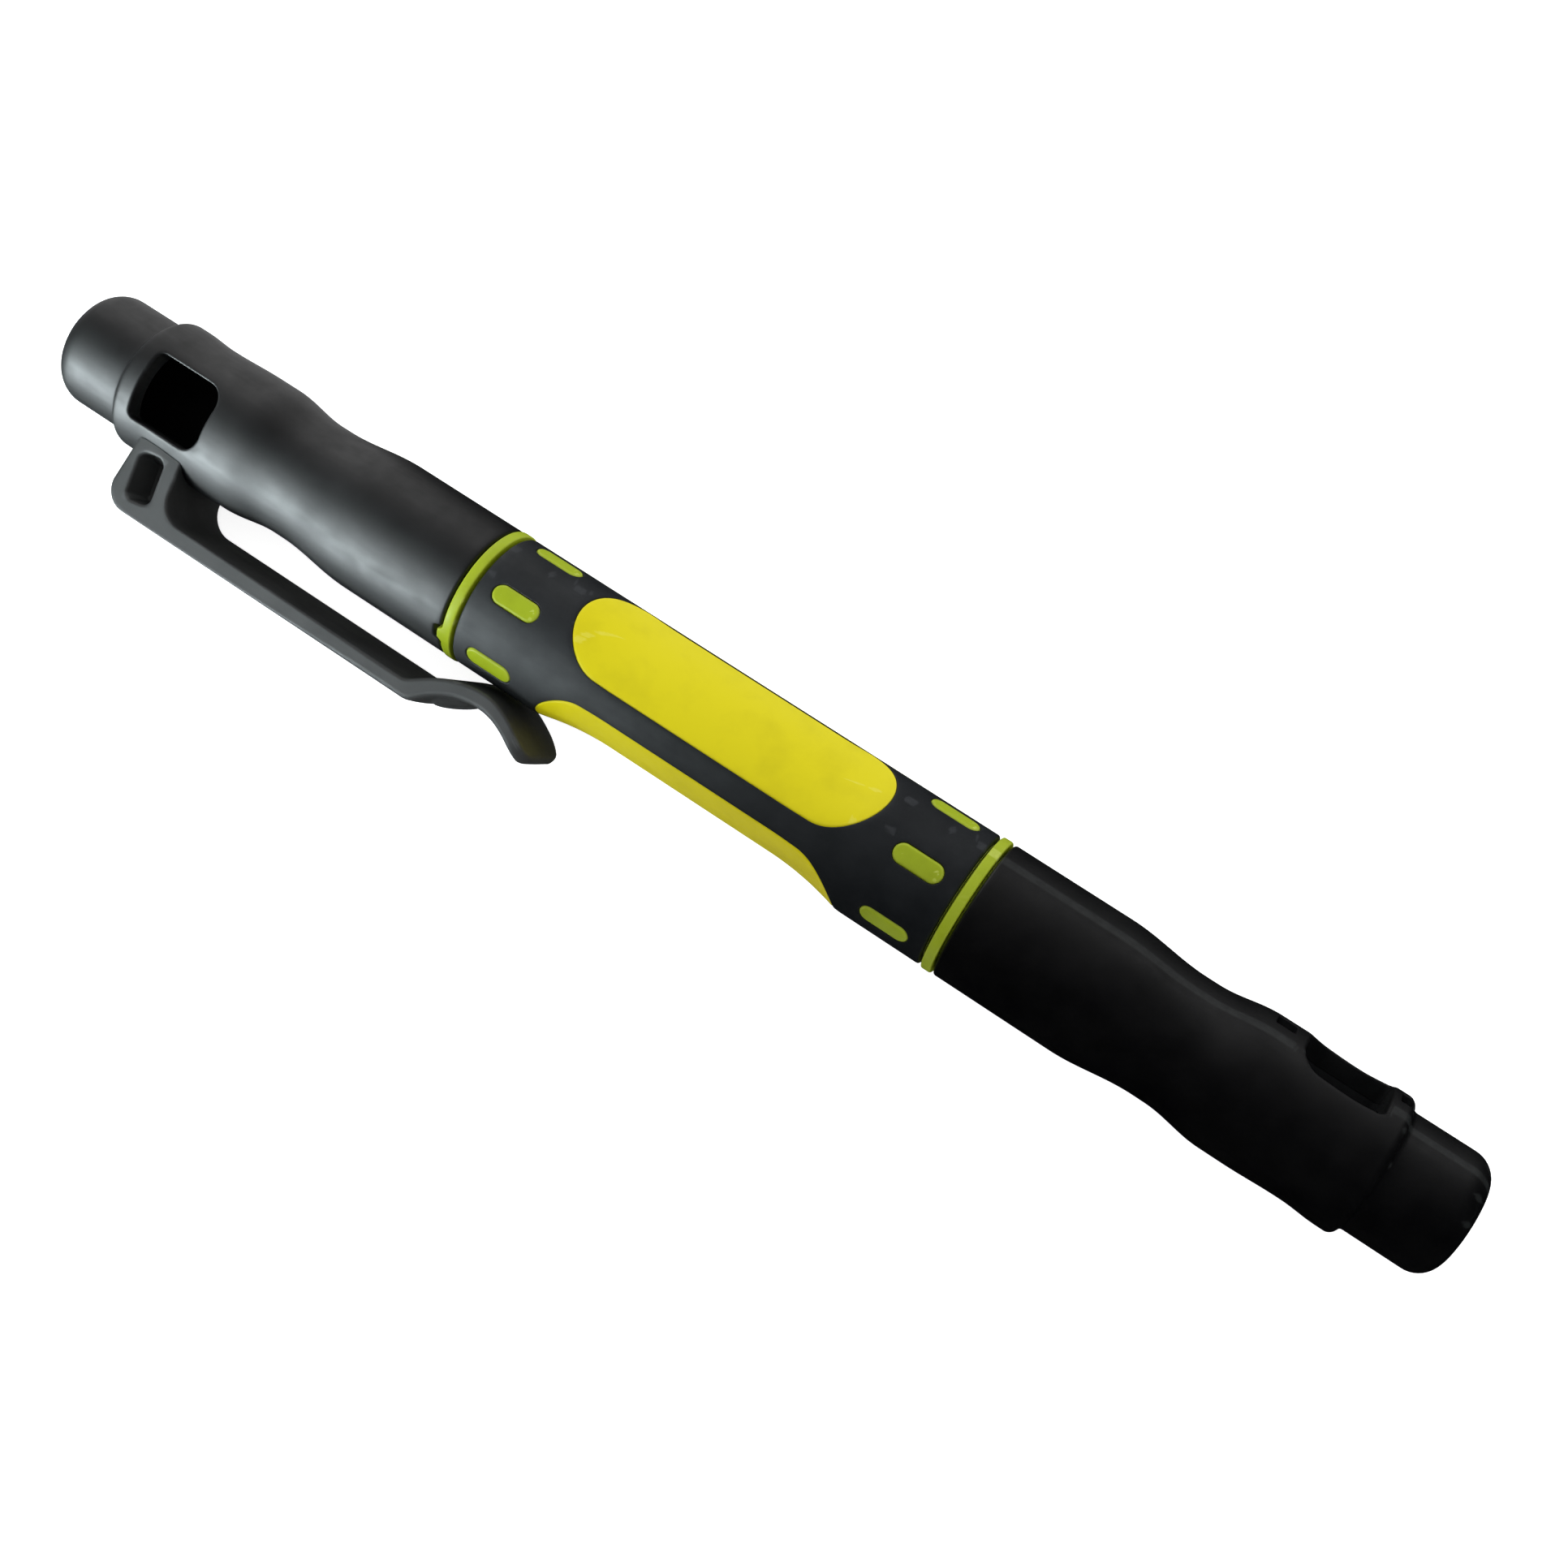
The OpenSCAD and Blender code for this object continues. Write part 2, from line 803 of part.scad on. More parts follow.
// fibre rod that stores the ink
module ink_store() {
    socket_r = 0.8;
    socket_len = 3.3;
    color("#cdbb8a")
        on_axis()
            difference() {
                bar(store_r, -store_x, store_end_x);
                // socket of the nib's inner end, left clear of the holder
                bar(socket_r, -store_x - 0.1, -store_x + socket_len);
            }
}

// plug that closes the ink store's chamber, with a groove round its middle
module store_plug() {
    plug_r = store_bore_r - press_gap;
    from_x = store_end_x + 0.4;
    to_x = from_x + 3.4;
    lead = [0.33, 0.4];
    groove_x = [from_x + 1.2, from_x + 2.05];
    groove_depth = 0.28;
    ease = 0.15;
    color("#8b8f92")
        on_axis()
            rotate_extrude()
                polygon([
                    [0, from_x],
                    [plug_r - lead[0], from_x],
                    [plug_r, from_x + lead[1]],
                    [plug_r, groove_x[0]],
                    [plug_r - groove_depth, groove_x[0] + ease],
                    [plug_r - groove_depth, groove_x[1] - ease],
                    [plug_r, groove_x[1]],
                    [plug_r, to_x],
                    [0, to_x]
                ]);
}

// rubber ring on the nib holder, against the cup's mouth
module nib_seal_ring() {
    color("#1e1e20")
        on_axis_mirrored()
            seal_ring(nib_seal_x);
}

// ---------- lamp ----------

// tube that screws into the barrel, with the second ring and the lamp's head
module lamp_body() {
    thread_r = lamp_bore_r - run_gap;
    thread_x = 17.2;
    thread_pitch = 0.9;
    thread_depth = 0.2;
    ring_from = lamp_seat_x + 0.02;
    ring_to = ring_x - 0.03;
    head_ease_x = 45.6;
    color("#a9c42e")
        on_axis()
            difference() {
                rotate_extrude()
                    polygon(concat(
                        [[0, lamp_body_x], [thread_r - 0.3, lamp_body_x]],
                        [[thread_r, lamp_body_x + 0.4]],
                        // five turned grooves stand for the thread
                        [for (k = [0:4], s = [0:3]) [
                            thread_r - (s == 1 || s == 2 ? thread_depth : 0),
                            thread_x + (k + s / 5) * thread_pitch
                        ]],
                        [[thread_r, ring_from]],
                        [[ring_r - ring_ease, ring_from], [ring_r, ring_from + ring_ease]],
                        [[ring_r, ring_to - ring_ease], [ring_r - ring_ease, ring_to]],
                        [[tenon_r, ring_to], [tenon_r, snap_x - 0.5]],
                        [[tenon_r + snap_h, snap_x], [tenon_r, snap_x + 0.5]],
                        [[tenon_r, tenon_x - 0.4], [tenon_r - 0.4, tenon_x]],
                        [[head_r, tenon_x], [head_r, head_ease_x]],
                        [[head_r - 0.5, head_x], [0, head_x]]
                    ));
                // cell chamber, board chamber and the lamp's bore
                bar(cell_bore_r, lamp_body_x - 1, cell_to_x + 0.3);
                bar(head_bore_r, cell_to_x, led_flange_x + 1.4);
                bar(led_bore_r, led_flange_x, head_x + 1);
                // seat of the bezel
                bar(bezel_seat_r, bezel_x, head_x + 1);
                seal_groove(lamp_seal_x);
                // hole of the push button
                radial_prism(button_turn, 2.5, 6)
                    translate([button_x, 0])
                        circle(button_r + run_gap);
            }
}

// rubber ring that seals the lamp cap's mouth
module lamp_seal_ring() {
    color("#1e1e20")
        on_axis()
            seal_ring(lamp_seal_x);
}

// one button cell with its stepped can
module button_cell(k) {
    base_x = cell_from_x + k * cell_h + eps;
    top_x = base_x + cell_h - 2 * eps;
    step_x = top_x - 0.5;
    can_ease = 0.3;
    lid_r = cell_r - 0.7;
    color("#c8cbce")
        on_axis()
            rotate_extrude()
                polygon([
                    [0, base_x],
                    [cell_r - can_ease, base_x],
                    [cell_r, base_x + can_ease],
                    [cell_r, step_x - can_ease],
                    [cell_r - can_ease, step_x],
                    [lid_r + 0.15, step_x],
                    [lid_r, top_x],
                    [0, top_x]
                ]);
}

module button_cell_1() {
    button_cell(0);
}

module button_cell_2() {
    button_cell(1);
}

module button_cell_3() {
    button_cell(2);
}

// coil spring that presses the cells together, drawn as its stacked turns
module cell_spring() {
    wire_r = 0.16;
    coil_r = 2.7;
    coil_taper = 0.35;
    coil_pitch = 0.44;
    first_x = lamp_body_x + 1.4;
    color("#b9a36b")
        on_axis()
            for (k = [0:3])
                translate([0, 0, first_x + k * coil_pitch])
                    rotate_extrude()
                        translate([coil_r - coil_taper * k, 0])
                            circle(wire_r, $fn = 16);
}

// plug that closes the cell chamber and holds the spring
module cell_plug() {
    plug_r = cell_bore_r - 0.03;
    from_x = lamp_body_x + 0.02;
    to_x = lamp_body_x + 1.2;
    lead = 0.27;
    slot_len = 6;
    slot_w = 1;
    color("#8b8f92")
        on_axis()
            difference() {
                rotate_extrude()
                    polygon([
                        [0, from_x],
                        [plug_r - lead, from_x],
                        [plug_r, from_x + lead],
                        [plug_r, to_x],
                        [0, to_x]
                    ]);
                // coin slot
                translate([-slot_len / 2, -slot_w / 2, from_x - 1])
                    cube([slot_len, slot_w, 1.3]);
            }
}

// brass strip along the cells, from the spring's end to the switch
module contact_strip() {
    strip_r = [2.9, 3.15];
    strip_w = 1.8;
    color("#c9a45c")
        on_axis()
            radial_prism(button_turn + 180, strip_r[0], strip_r[1])
                translate([cell_to_x + 0.02, -strip_w / 2])
                    square([board_x - cell_to_x - 0.04, strip_w]);
}

// round circuit board that carries the lamp and the switch
module lamp_board() {
    color("#2e6b3a")
        on_axis()
            difference() {
                bar(head_bore_r - 0.03, board_x, board_x + board_t);
                for (side = [-1, 1])
                    translate([0, side * lead_pitch / 2, board_x - 1])
                        cylinder(r = lead_r + 0.06, h = board_t + 2, $fn = 24);
            }
}

// ultraviolet lamp: flange, round body, dome and two leads
module lamp_led() {
    dome_x = led_tip_x - led_r;
    color("#cfd3ea")
        on_axis() {
            rotate_extrude()
                polygon(concat(
                    [[0, led_flange_x], [led_flange_r, led_flange_x]],
                    [[led_flange_r, led_flange_x + 1], [led_r, led_flange_x + 1]],
                    [for (i = [0:9]) [led_r * cos(10 * i), dome_x + led_r * sin(10 * i)]]
                ));
            for (side = [-1, 1])
                translate([0, side * lead_pitch / 2, board_x])
                    cylinder(r = lead_r, h = led_flange_x - board_x + 0.02, $fn = 24);
        }
}

// bright ring round the lamp's dome
module lamp_bezel() {
    in_r = led_r + 0.12;
    out_r = bezel_seat_r - press_gap;
    from_x = bezel_x + 0.02;
    to_x = head_x + 0.35;
    ease = 0.25;
    color("#c4c7ca")
        on_axis()
            rotate_extrude()
                polygon([
                    [in_r, from_x],
                    [out_r, from_x],
                    [out_r, to_x - ease],
                    [out_r - ease, to_x],
                    [out_r - 2 * ease, to_x],
                    [in_r, head_x - 0.4]
                ]);
}

// round push button in the side of the lamp's head
module push_button() {
    color("#dcd71c")
        on_axis()
            intersection() {
                radial_prism(button_turn, button_floor_r, 6)
                    translate([button_x, 0])
                        circle(button_r);
                bar(button_top_r, button_x - 3, button_x + 3);
            }
}

// sprung metal dome under the button, on its small block
module switch_dome() {
    block_r = 1.2;
    dome_r = 1.2;
    color("#c8cbce")
        on_axis()
            radial_prism(button_turn, block_r, button_floor_r - button_travel - run_gap)
                translate([button_x, 0])
                    circle(dome_r);
}

clip_cap();
seal_cup();
pocket_clip();
lamp_cap();
lamp_cap_liner();
barrel_core();
grip_sleeve();
grip_panel_1();
grip_panel_2();
grip_panel_3();
nib_holder();
felt_nib();
ink_store();
store_plug();
nib_seal_ring();
lamp_body();
lamp_seal_ring();
button_cell_1();
button_cell_2();
button_cell_3();
cell_spring();
cell_plug();
contact_strip();
lamp_board();
lamp_led();
lamp_bezel();
push_button();
switch_dome();
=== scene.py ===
import math

import bmesh
import bpy
import numpy as np
from mathutils import Matrix, Vector


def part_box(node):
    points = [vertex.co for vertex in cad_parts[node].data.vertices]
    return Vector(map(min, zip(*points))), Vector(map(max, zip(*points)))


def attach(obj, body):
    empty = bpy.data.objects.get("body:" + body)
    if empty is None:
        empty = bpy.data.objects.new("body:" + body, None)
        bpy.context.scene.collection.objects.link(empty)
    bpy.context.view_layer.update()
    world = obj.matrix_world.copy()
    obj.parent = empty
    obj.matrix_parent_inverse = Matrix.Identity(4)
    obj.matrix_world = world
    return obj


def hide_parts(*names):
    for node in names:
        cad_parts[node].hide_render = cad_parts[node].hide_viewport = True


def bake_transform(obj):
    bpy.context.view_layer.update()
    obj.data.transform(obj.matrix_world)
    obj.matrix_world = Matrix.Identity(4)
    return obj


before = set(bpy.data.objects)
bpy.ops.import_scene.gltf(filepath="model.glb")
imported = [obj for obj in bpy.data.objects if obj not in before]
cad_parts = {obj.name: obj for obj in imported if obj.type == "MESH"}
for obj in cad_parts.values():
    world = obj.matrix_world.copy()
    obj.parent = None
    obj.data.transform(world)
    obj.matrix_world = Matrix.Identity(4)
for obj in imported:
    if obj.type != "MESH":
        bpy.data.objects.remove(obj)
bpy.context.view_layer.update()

# Measures in mm. x runs along the pen from its middle, r is a radius from the
# pen's axis, and a turn is an angle from straight up towards +Y. Stations of a
# cap are counted from the middle of the pen outwards, on either side.
MM = 0.001
core_low, core_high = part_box("barrel_core")
AXIS_Y = (core_low.y + core_high.y) / 2 / MM
AXIS_Z = (core_low.z + core_high.z) / 2 / MM
RING_R = (core_high.z - core_low.z) / 2 / MM
END_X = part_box("lamp_cap")[1].x / MM
RING_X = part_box("lamp_cap")[0].x / MM
RING_W = 1.3
SEAM = 0.2

# caps
CAP_R = 6.03
WAIST_R = 5.38
HOOD_R = 5.86
HOOD_START_R = 6.0
FLARE_R = 6.04
BODY_END_X = 35.0
WAIST = (42.2, 43.2)
HOOD_END_X = END_X - 7.5
HOOD_ROUND = 0.7
ROOT_ROUND = 0.5
LIP_ROUND = 0.25
STUB_R = 5.2
STUB_ROUND = 2.1
MOUTH_BORE_R = 4.9
DEEP_BORE_R = 4.5
BORE_STEP_X = 35.0
BORE_END_X = END_X - 1.7
WINDOW = (50.9, 58.0)
WINDOW_HALF_W = 3.05
WINDOW_ROUND = (1.8, 0.5)
LAMP_WINDOW_TURN = 66
WINDOW_CELL = (WINDOW[0] - 0.9, WINDOW[1] + 0.4, 50)    # mm along the pen, then degrees to each side
RIM = 0.27
LATCHES = ((48.1, 49.75), (58.65, 59.7))
LATCH_HALF_W = 0.75
LATCH_ROUND = 0.1
LATCH_REACH = 14

# stretches of a cap's outside from one station to another, and the radius each leads to
CAP_WAVES = ((BODY_END_X, WAIST[0], WAIST_R), (WAIST[1], 48.4, HOOD_START_R),
             (50.4, 55.3, HOOD_R), (55.5, 58.6, FLARE_R))

# tenons and keys
TENON_R = 4.85
TENON_X = 31.0
SNAP_X = 29.0
KEY_TURN = -55
KEY_HALF_W = 0.6
KEY_LEN = 0.45
STORE_BORE_R = 3.5
LAMP_BORE_R = 4.6
LAMP_BORE_X = 15.9
EASE = 0.01

# grip
GRIP_R = 6.0
SLEEVE_X = RING_X - RING_W - 0.06
SLEEVE_ROUND = 0.22
CORE_WIDE_R = 5.2
SLEEVE_BORE_R = CORE_WIDE_R + EASE
CORE_THIN_R = 4.2
CORE_STEP_X = 15.6
PANEL_TURN = 34
PANEL_HALF_LEN = 14.75
PANEL_HALF_W = 4.4
PANEL_T = 0.6
PANEL_EDGE_TURN = math.radians(49)
PANEL_EDGE = (104, 44)    # points along a side and round an end
SCOOP_R = 5.02
SCOOP_FLAT = 8.0
DASH_X = 19.3
DASH_HALF_LEN = 2.25
DASH_HALF_W = 0.9
DASH_TOP_R = 6.05
DASH_CELL = (DASH_X - 2.9, DASH_X + 2.9)
DASH_EDGE = (22, 14)

# clip
CLIP_DEGREES = -100.25
CLIP_TURN = math.radians(CLIP_DEGREES)
CLIP_HALF_W = 4.3
CLIP_T = 1.5
CLIP_OUT_R = 10.5
CLIP_CROWN = 0.16
OUTER_EDGE_R = 0.45
INNER_EDGE_R = 0.3
FOOT_X = 56.75
FOOT_IN_X = 51.95
FOOT_LEAN = 0.3
FOOT_ROUND = 2.1
FOOT_FILLET = 2.4
FOOT_GAP = 0.06
KNEE_OUT_X = 24.6
KNEE_IN_X = 25.3
TIP_ROUND = 1.9
PAD_X = 21.3
PAD_HALF = (1.9, 3.0)
PAD_H = 0.85
POCKET = (54.3, 7.0)
POCKET_HALF = (2.1, 1.2)
POCKET_ROUND = 0.75
POCKET_RIM = 0.28
POCKET_LEAN = math.radians(9)
POCKET_DEPTH = 3.1
BEND_FROM_X = 51.0
BEND_TO_X = 38.0

# points of one cross-section of the clip: outer face, rounded edges, sides and inner face
FACE_POINTS = 19
EDGE_POINTS = 6
SIDE_POINTS = 9
UNDER_POINTS = 11
NEAR_SIDE = (FACE_POINTS + EDGE_POINTS - 1, FACE_POINTS + EDGE_POINTS + SIDE_POINTS)
FAR_SIDE = tuple(mark + UNDER_POINTS + 2 * EDGE_POINTS + SIDE_POINTS for mark in NEAR_SIDE)
RING_POINTS = FACE_POINTS + UNDER_POINTS + 4 * EDGE_POINTS + 2 * SIDE_POINTS

# lamp
HEAD_R = 4.15
HEAD_X = 47.0
HEAD_MOUTH_R = 3.35
THREAD_R = LAMP_BORE_R - 0.05
THREAD = (16.6, 21.6)
THREAD_PITCH = 0.9
THREAD_DEPTH = 0.26
GROOVE = (26.28, 26.92)
GROOVE_R = TENON_R - 0.48
LAMP_BODY_X = 16.0
CELL_BORE_R = 4.0
CELL_END_X = 30.0
HEAD_BORE_R = 3.4
LED_R = 2.5
LED_FLANGE_R = 2.9
LED_FLANGE_X = 39.0
LED_FLANGE_T = 1.0
LED_TIP_X = 47.6
BEZEL_X = 44.6
BOARD_X = 31.4
LEAD_PITCH = 2.54
LEAD_R = 0.24
CUP_X = 42.4
CUP_R = 1.6
CUP_DEPTH = 0.6
SPRING_X = LAMP_BODY_X + 1.4
SPRING_LEN = 1.32
SPRING_R = (2.7, 1.65)
BUTTON_X = 36.0
BUTTON_R = 1.5
BUTTON_TOP_R = 4.45
BUTTON_FLOOR_R = 3.3
BUTTON_CELL = (BUTTON_X - 2.2, BUTTON_X + 2.2, 40)

# camera
CAMERA_SPOT = (38.21, -4.14, 164.22)
CAMERA_TARGET = (5.97, 2.68, 6.1)
CAMERA_ROLL = 33.35
CAMERA_LENS = 46.02

SHARP_DEGREES = 40
TURN_STEP = 2
COLUMNS = 360 // TURN_STEP


# ---- Mesh building ----
def place(x, r, turn):
    """World points in mm at stations x, radii r and turns, which may be arrays."""
    x, r, turn = np.broadcast_arrays(x, r, turn)
    return np.stack([x, AXIS_Y + r * np.sin(turn), AXIS_Z + r * np.cos(turn)], -1)


def beside(x, w, h, middle):
    """World points in mm that lie h out along the turn middle and w to its side."""
    return place(x, np.hypot(w, h), middle + np.arctan2(w, h))


def smooth(t):
    """Cosine step from 0 to 1."""
    return (1 - np.cos(np.pi * np.clip(t, 0, 1))) / 2


def stations(marks, step):
    """The marks with even steps, none longer than step, between them."""
    runs = [np.linspace(a, b, max(1, math.ceil(abs(b - a) / step)), endpoint=False)
            for a, b in zip(marks, marks[1:])]
    return np.concatenate([*runs, [marks[-1]]])


def around(start=0):
    """One full turn in even columns from start, in degrees, as radians."""
    return np.radians(start + TURN_STEP * np.arange(COLUMNS))


def quarter(count=5):
    """Sine and cosine of a quarter turn, for rounded edges."""
    angle = np.linspace(0, math.pi / 2, count)
    return list(zip(np.sin(angle), np.cos(angle)))


class Shell:
    """Points and quads of one closed piece in mm, gathered in patches and welded at the end."""

    def __init__(self):
        self.points = []
        self.quads = []
        self.count = 0

    def grid(self, rows, wrap=False, gaps=()):
        """Quads over rows of points. wrap closes each row, and gaps are cells left out."""
        rows = np.asarray(rows, float)
        n, m = rows.shape[:2]
        index = self.count + np.arange(n * m).reshape(n, m)
        self.points.append(rows.reshape(-1, 3))
        self.count += n * m
        if wrap:
            index = np.hstack([index, index[:, :1]])
        quads = np.stack([index[:-1, :-1], index[1:, :-1], index[1:, 1:], index[:-1, 1:]], -1)
        keep = np.ones(quads.shape[:2], bool)
        for i0, i1, j0, j1 in gaps:
            keep[i0:i1, j0:j1] = False
        self.quads.append(quads[keep])

    def object(self, name):
        """The welded mesh as an object in metres, with outward normals."""
        mesh = bpy.data.meshes.new(name)
        points = np.concatenate(self.points)
        mesh.from_pydata(points.tolist(), [], np.concatenate(self.quads).tolist())
        bm = bmesh.new()
        bm.from_mesh(mesh)
        bmesh.ops.remove_doubles(bm, verts=bm.verts, dist=0.002)
        bmesh.ops.recalc_face_normals(bm, faces=bm.faces)
        bmesh.ops.scale(bm, vec=(MM, MM, MM), verts=bm.verts)
        bm.to_mesh(mesh)
        bm.free()
        mesh.shade_smooth()
        mesh.set_sharp_from_angle(angle=math.radians(SHARP_DEGREES))
        made = bpy.data.objects.new(name, mesh)
        bpy.context.scene.collection.objects.link(made)
        return made


def piece(shell, name, body, slot, *nodes):
    """Finishes a shell as a piece in a slot's material that rides on a body and stands for CAD nodes."""
    made = shell.object(name)
    made.data.materials.append(MATERIALS[slot])
    if body:
        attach(made, body)
    if nodes:
        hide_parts(*nodes)
    return made


def revolve(shell, profile, turns, side=1, gaps=(), skin=None, shift=None):
    """Turned surface of an outline of (x, r). skin gives the radius where it isn't round."""
    x, r = np.asarray(profile, float).T[:, :, None]
    turn = turns[None, :]
    radius = r if skin is None else skin(x, r, turn)
    station = x if shift is None else x + shift(x, turn)
    shell.grid(place(side * station, radius, turn), wrap=True, gaps=gaps)


def rounded_slot(x0, x1, half_w, round0, round1):
    """Outline of a slot along x, as a function of how many points its sides and its ends get."""

    def run(a, ra, b, rb, facing, count):
        bend = math.pi / 4
        corner = 0.5
        straight = math.dist(a, b)
        wa, wb = bend * (ra + corner), bend * (rb + corner)
        s = np.arange(count) / count * (wa + straight + wb)
        after = s - wa - straight
        angle = facing - bend * (1 - np.clip(s / wa, 0, 1)) + bend * np.clip(after / wb, 0, 1)
        along = np.clip((s - wa) / max(straight, 1e-9), 0, 1)[:, None]
        out = np.stack([np.cos(angle), np.sin(angle)], -1)
        centre = np.array(a) + (np.array(b) - np.array(a)) * along
        return centre + out * (ra + (rb - ra) * along), out

    def outline(n_side, n_end):
        low0, low1 = (x0 + round0, -half_w + round0), (x1 - round1, -half_w + round1)
        high0, high1 = (x0 + round0, half_w - round0), (x1 - round1, half_w - round1)
        quarter_turn = math.pi / 2
        runs = [
            run(low0, round0, low1, round1, -quarter_turn, n_side),
            run(low1, round1, high1, round1, 0, n_end),
            run(high1, round1, high0, round0, quarter_turn, n_side),
            run(high0, round0, low0, round0, 2 * quarter_turn, n_end),
        ]
        return tuple(np.concatenate(part) for part in zip(*runs))

    return outline


def cell_edge(rows, columns):
    """Points (row, column) along the edge of a cell of a grid, once round."""
    r0, r1, c0, c1 = rows[0], rows[-1], columns[0], columns[-1]
    runs = [
        np.stack([rows[:-1], np.full(len(rows) - 1, c0)], -1),
        np.stack([np.full(len(columns) - 1, r1), columns[:-1]], -1),
        np.stack([rows[:0:-1], np.full(len(rows) - 1, c1)], -1),
        np.stack([np.full(len(columns) - 1, r0), columns[:0:-1]], -1),
    ]
    return np.concatenate(runs)


def tube(radius):
    """Skin of a plain round tube."""
    return lambda x, turn: np.full_like(x, radius)


def skin_height(skin, x, w, middle):
    """Distance out along the turn middle of the skin's point that lies w to its side."""
    turn = np.zeros_like(x)
    for _ in range(14):
        radius = skin(x, middle + turn)
        turn = np.arcsin(np.clip(w / radius, -1, 1))
    return radius * np.cos(turn)


class Hole:
    """A slot in a turned wall: its walls run straight out along the turn at its middle."""

    def __init__(self, shell, rows, columns, middle, shape, side=1):
        self.shell = shell
        self.side = side
        self.middle = middle
        self.edge = cell_edge(rows, columns)
        self.outline, self.out = shape(len(rows) - 1, len(columns) - 1)

    def loop(self, skin, grow=0.0, sink=0.0):
        """Points on a skin round the slot, grown outwards and sunk inwards."""
        x, w = (self.outline + self.out * grow).T
        return beside(self.side * x, w, skin_height(skin, x, w, self.middle) - sink, self.middle)

    def surround(self, skin, grow=0.0):
        """Skin between the cell's edge and the slot."""
        count = 8
        x, w = (self.outline + self.out * grow).T
        turn = self.middle + np.arctan2(w, skin_height(skin, x, w, self.middle))
        share = np.linspace(0, 1, count + 1)[:, None, None]
        x, turn = np.moveaxis(self.edge + (np.stack([x, turn], -1) - self.edge) * share, -1, 0)
        self.shell.grid(place(self.side * x, skin(x, turn), turn), wrap=True)

    def rim(self, skin, size):
        """Loops of the slot's rounded rim, from the skin down into the slot."""
        return [self.loop(skin, size * (1 - s), size * (1 - c)) for s, c in quarter()]

    def through(self, outer, inner, size):
        """Opens the wall from its outer to its inner skin, with a rounded outer rim."""
        self.surround(outer, size)
        self.surround(inner)
        self.shell.grid([*self.rim(outer, size), self.loop(inner)], wrap=True)

    def blind(self, outer, size, depth):
        """Sinks a pocket of an even depth, with a rounded rim."""
        self.surround(outer, size)
        loops = self.rim(outer, size)
        self.shell.grid([*loops, self.loop(outer, 0, depth)], wrap=True)
        close_slot(self.shell, self.outline, self.middle, outer, depth, 6, self.side)


def close_slot(shell, outline, middle, skin, sink, count, side=1):
    """Closes a slot's outline with loops that shrink to its middle line."""
    half_w = outline[:, 1].max()
    low, high = outline[:, 0].min() + half_w, outline[:, 0].max() - half_w
    spine = np.stack([np.clip(outline[:, 0], low, high), np.zeros(len(outline))], -1)
    loops = []
    for share in np.linspace(0, 1, count + 1):
        x, w = (outline + (spine - outline) * share).T
        loops.append(beside(side * x, w, skin_height(skin, x, w, middle) - sink, middle))
    shell.grid(loops, wrap=True)


def pad(shell, outline, out, middle, skin, base, size):
    """Closed pad under a skin: rounded rim of that size, its side down to the depth base."""
    loops = []
    for s, c in quarter():
        x, w = (outline - out * size * (1 - s)).T
        loops.append(beside(x, w, skin_height(skin, x, w, middle) - size * (1 - c), middle))
    x, w = outline.T
    loops.append(beside(x, w, skin_height(skin, x, w, middle) - base, middle))
    shell.grid(loops, wrap=True)
    close_slot(shell, outline - out * size, middle, skin, 0, 12)
    close_slot(shell, outline, middle, skin, base, 6)


# ---- Materials: all procedural, on the piece's own coordinates ----
def srgb(red, green, blue):
    """Linear colour of 8-bit screen values."""
    def linear(v):
        v /= 255
        return v / 12.92 if v <= 0.04045 else ((v + 0.055) / 1.055) ** 2.4
    return (linear(red), linear(green), linear(blue), 1)


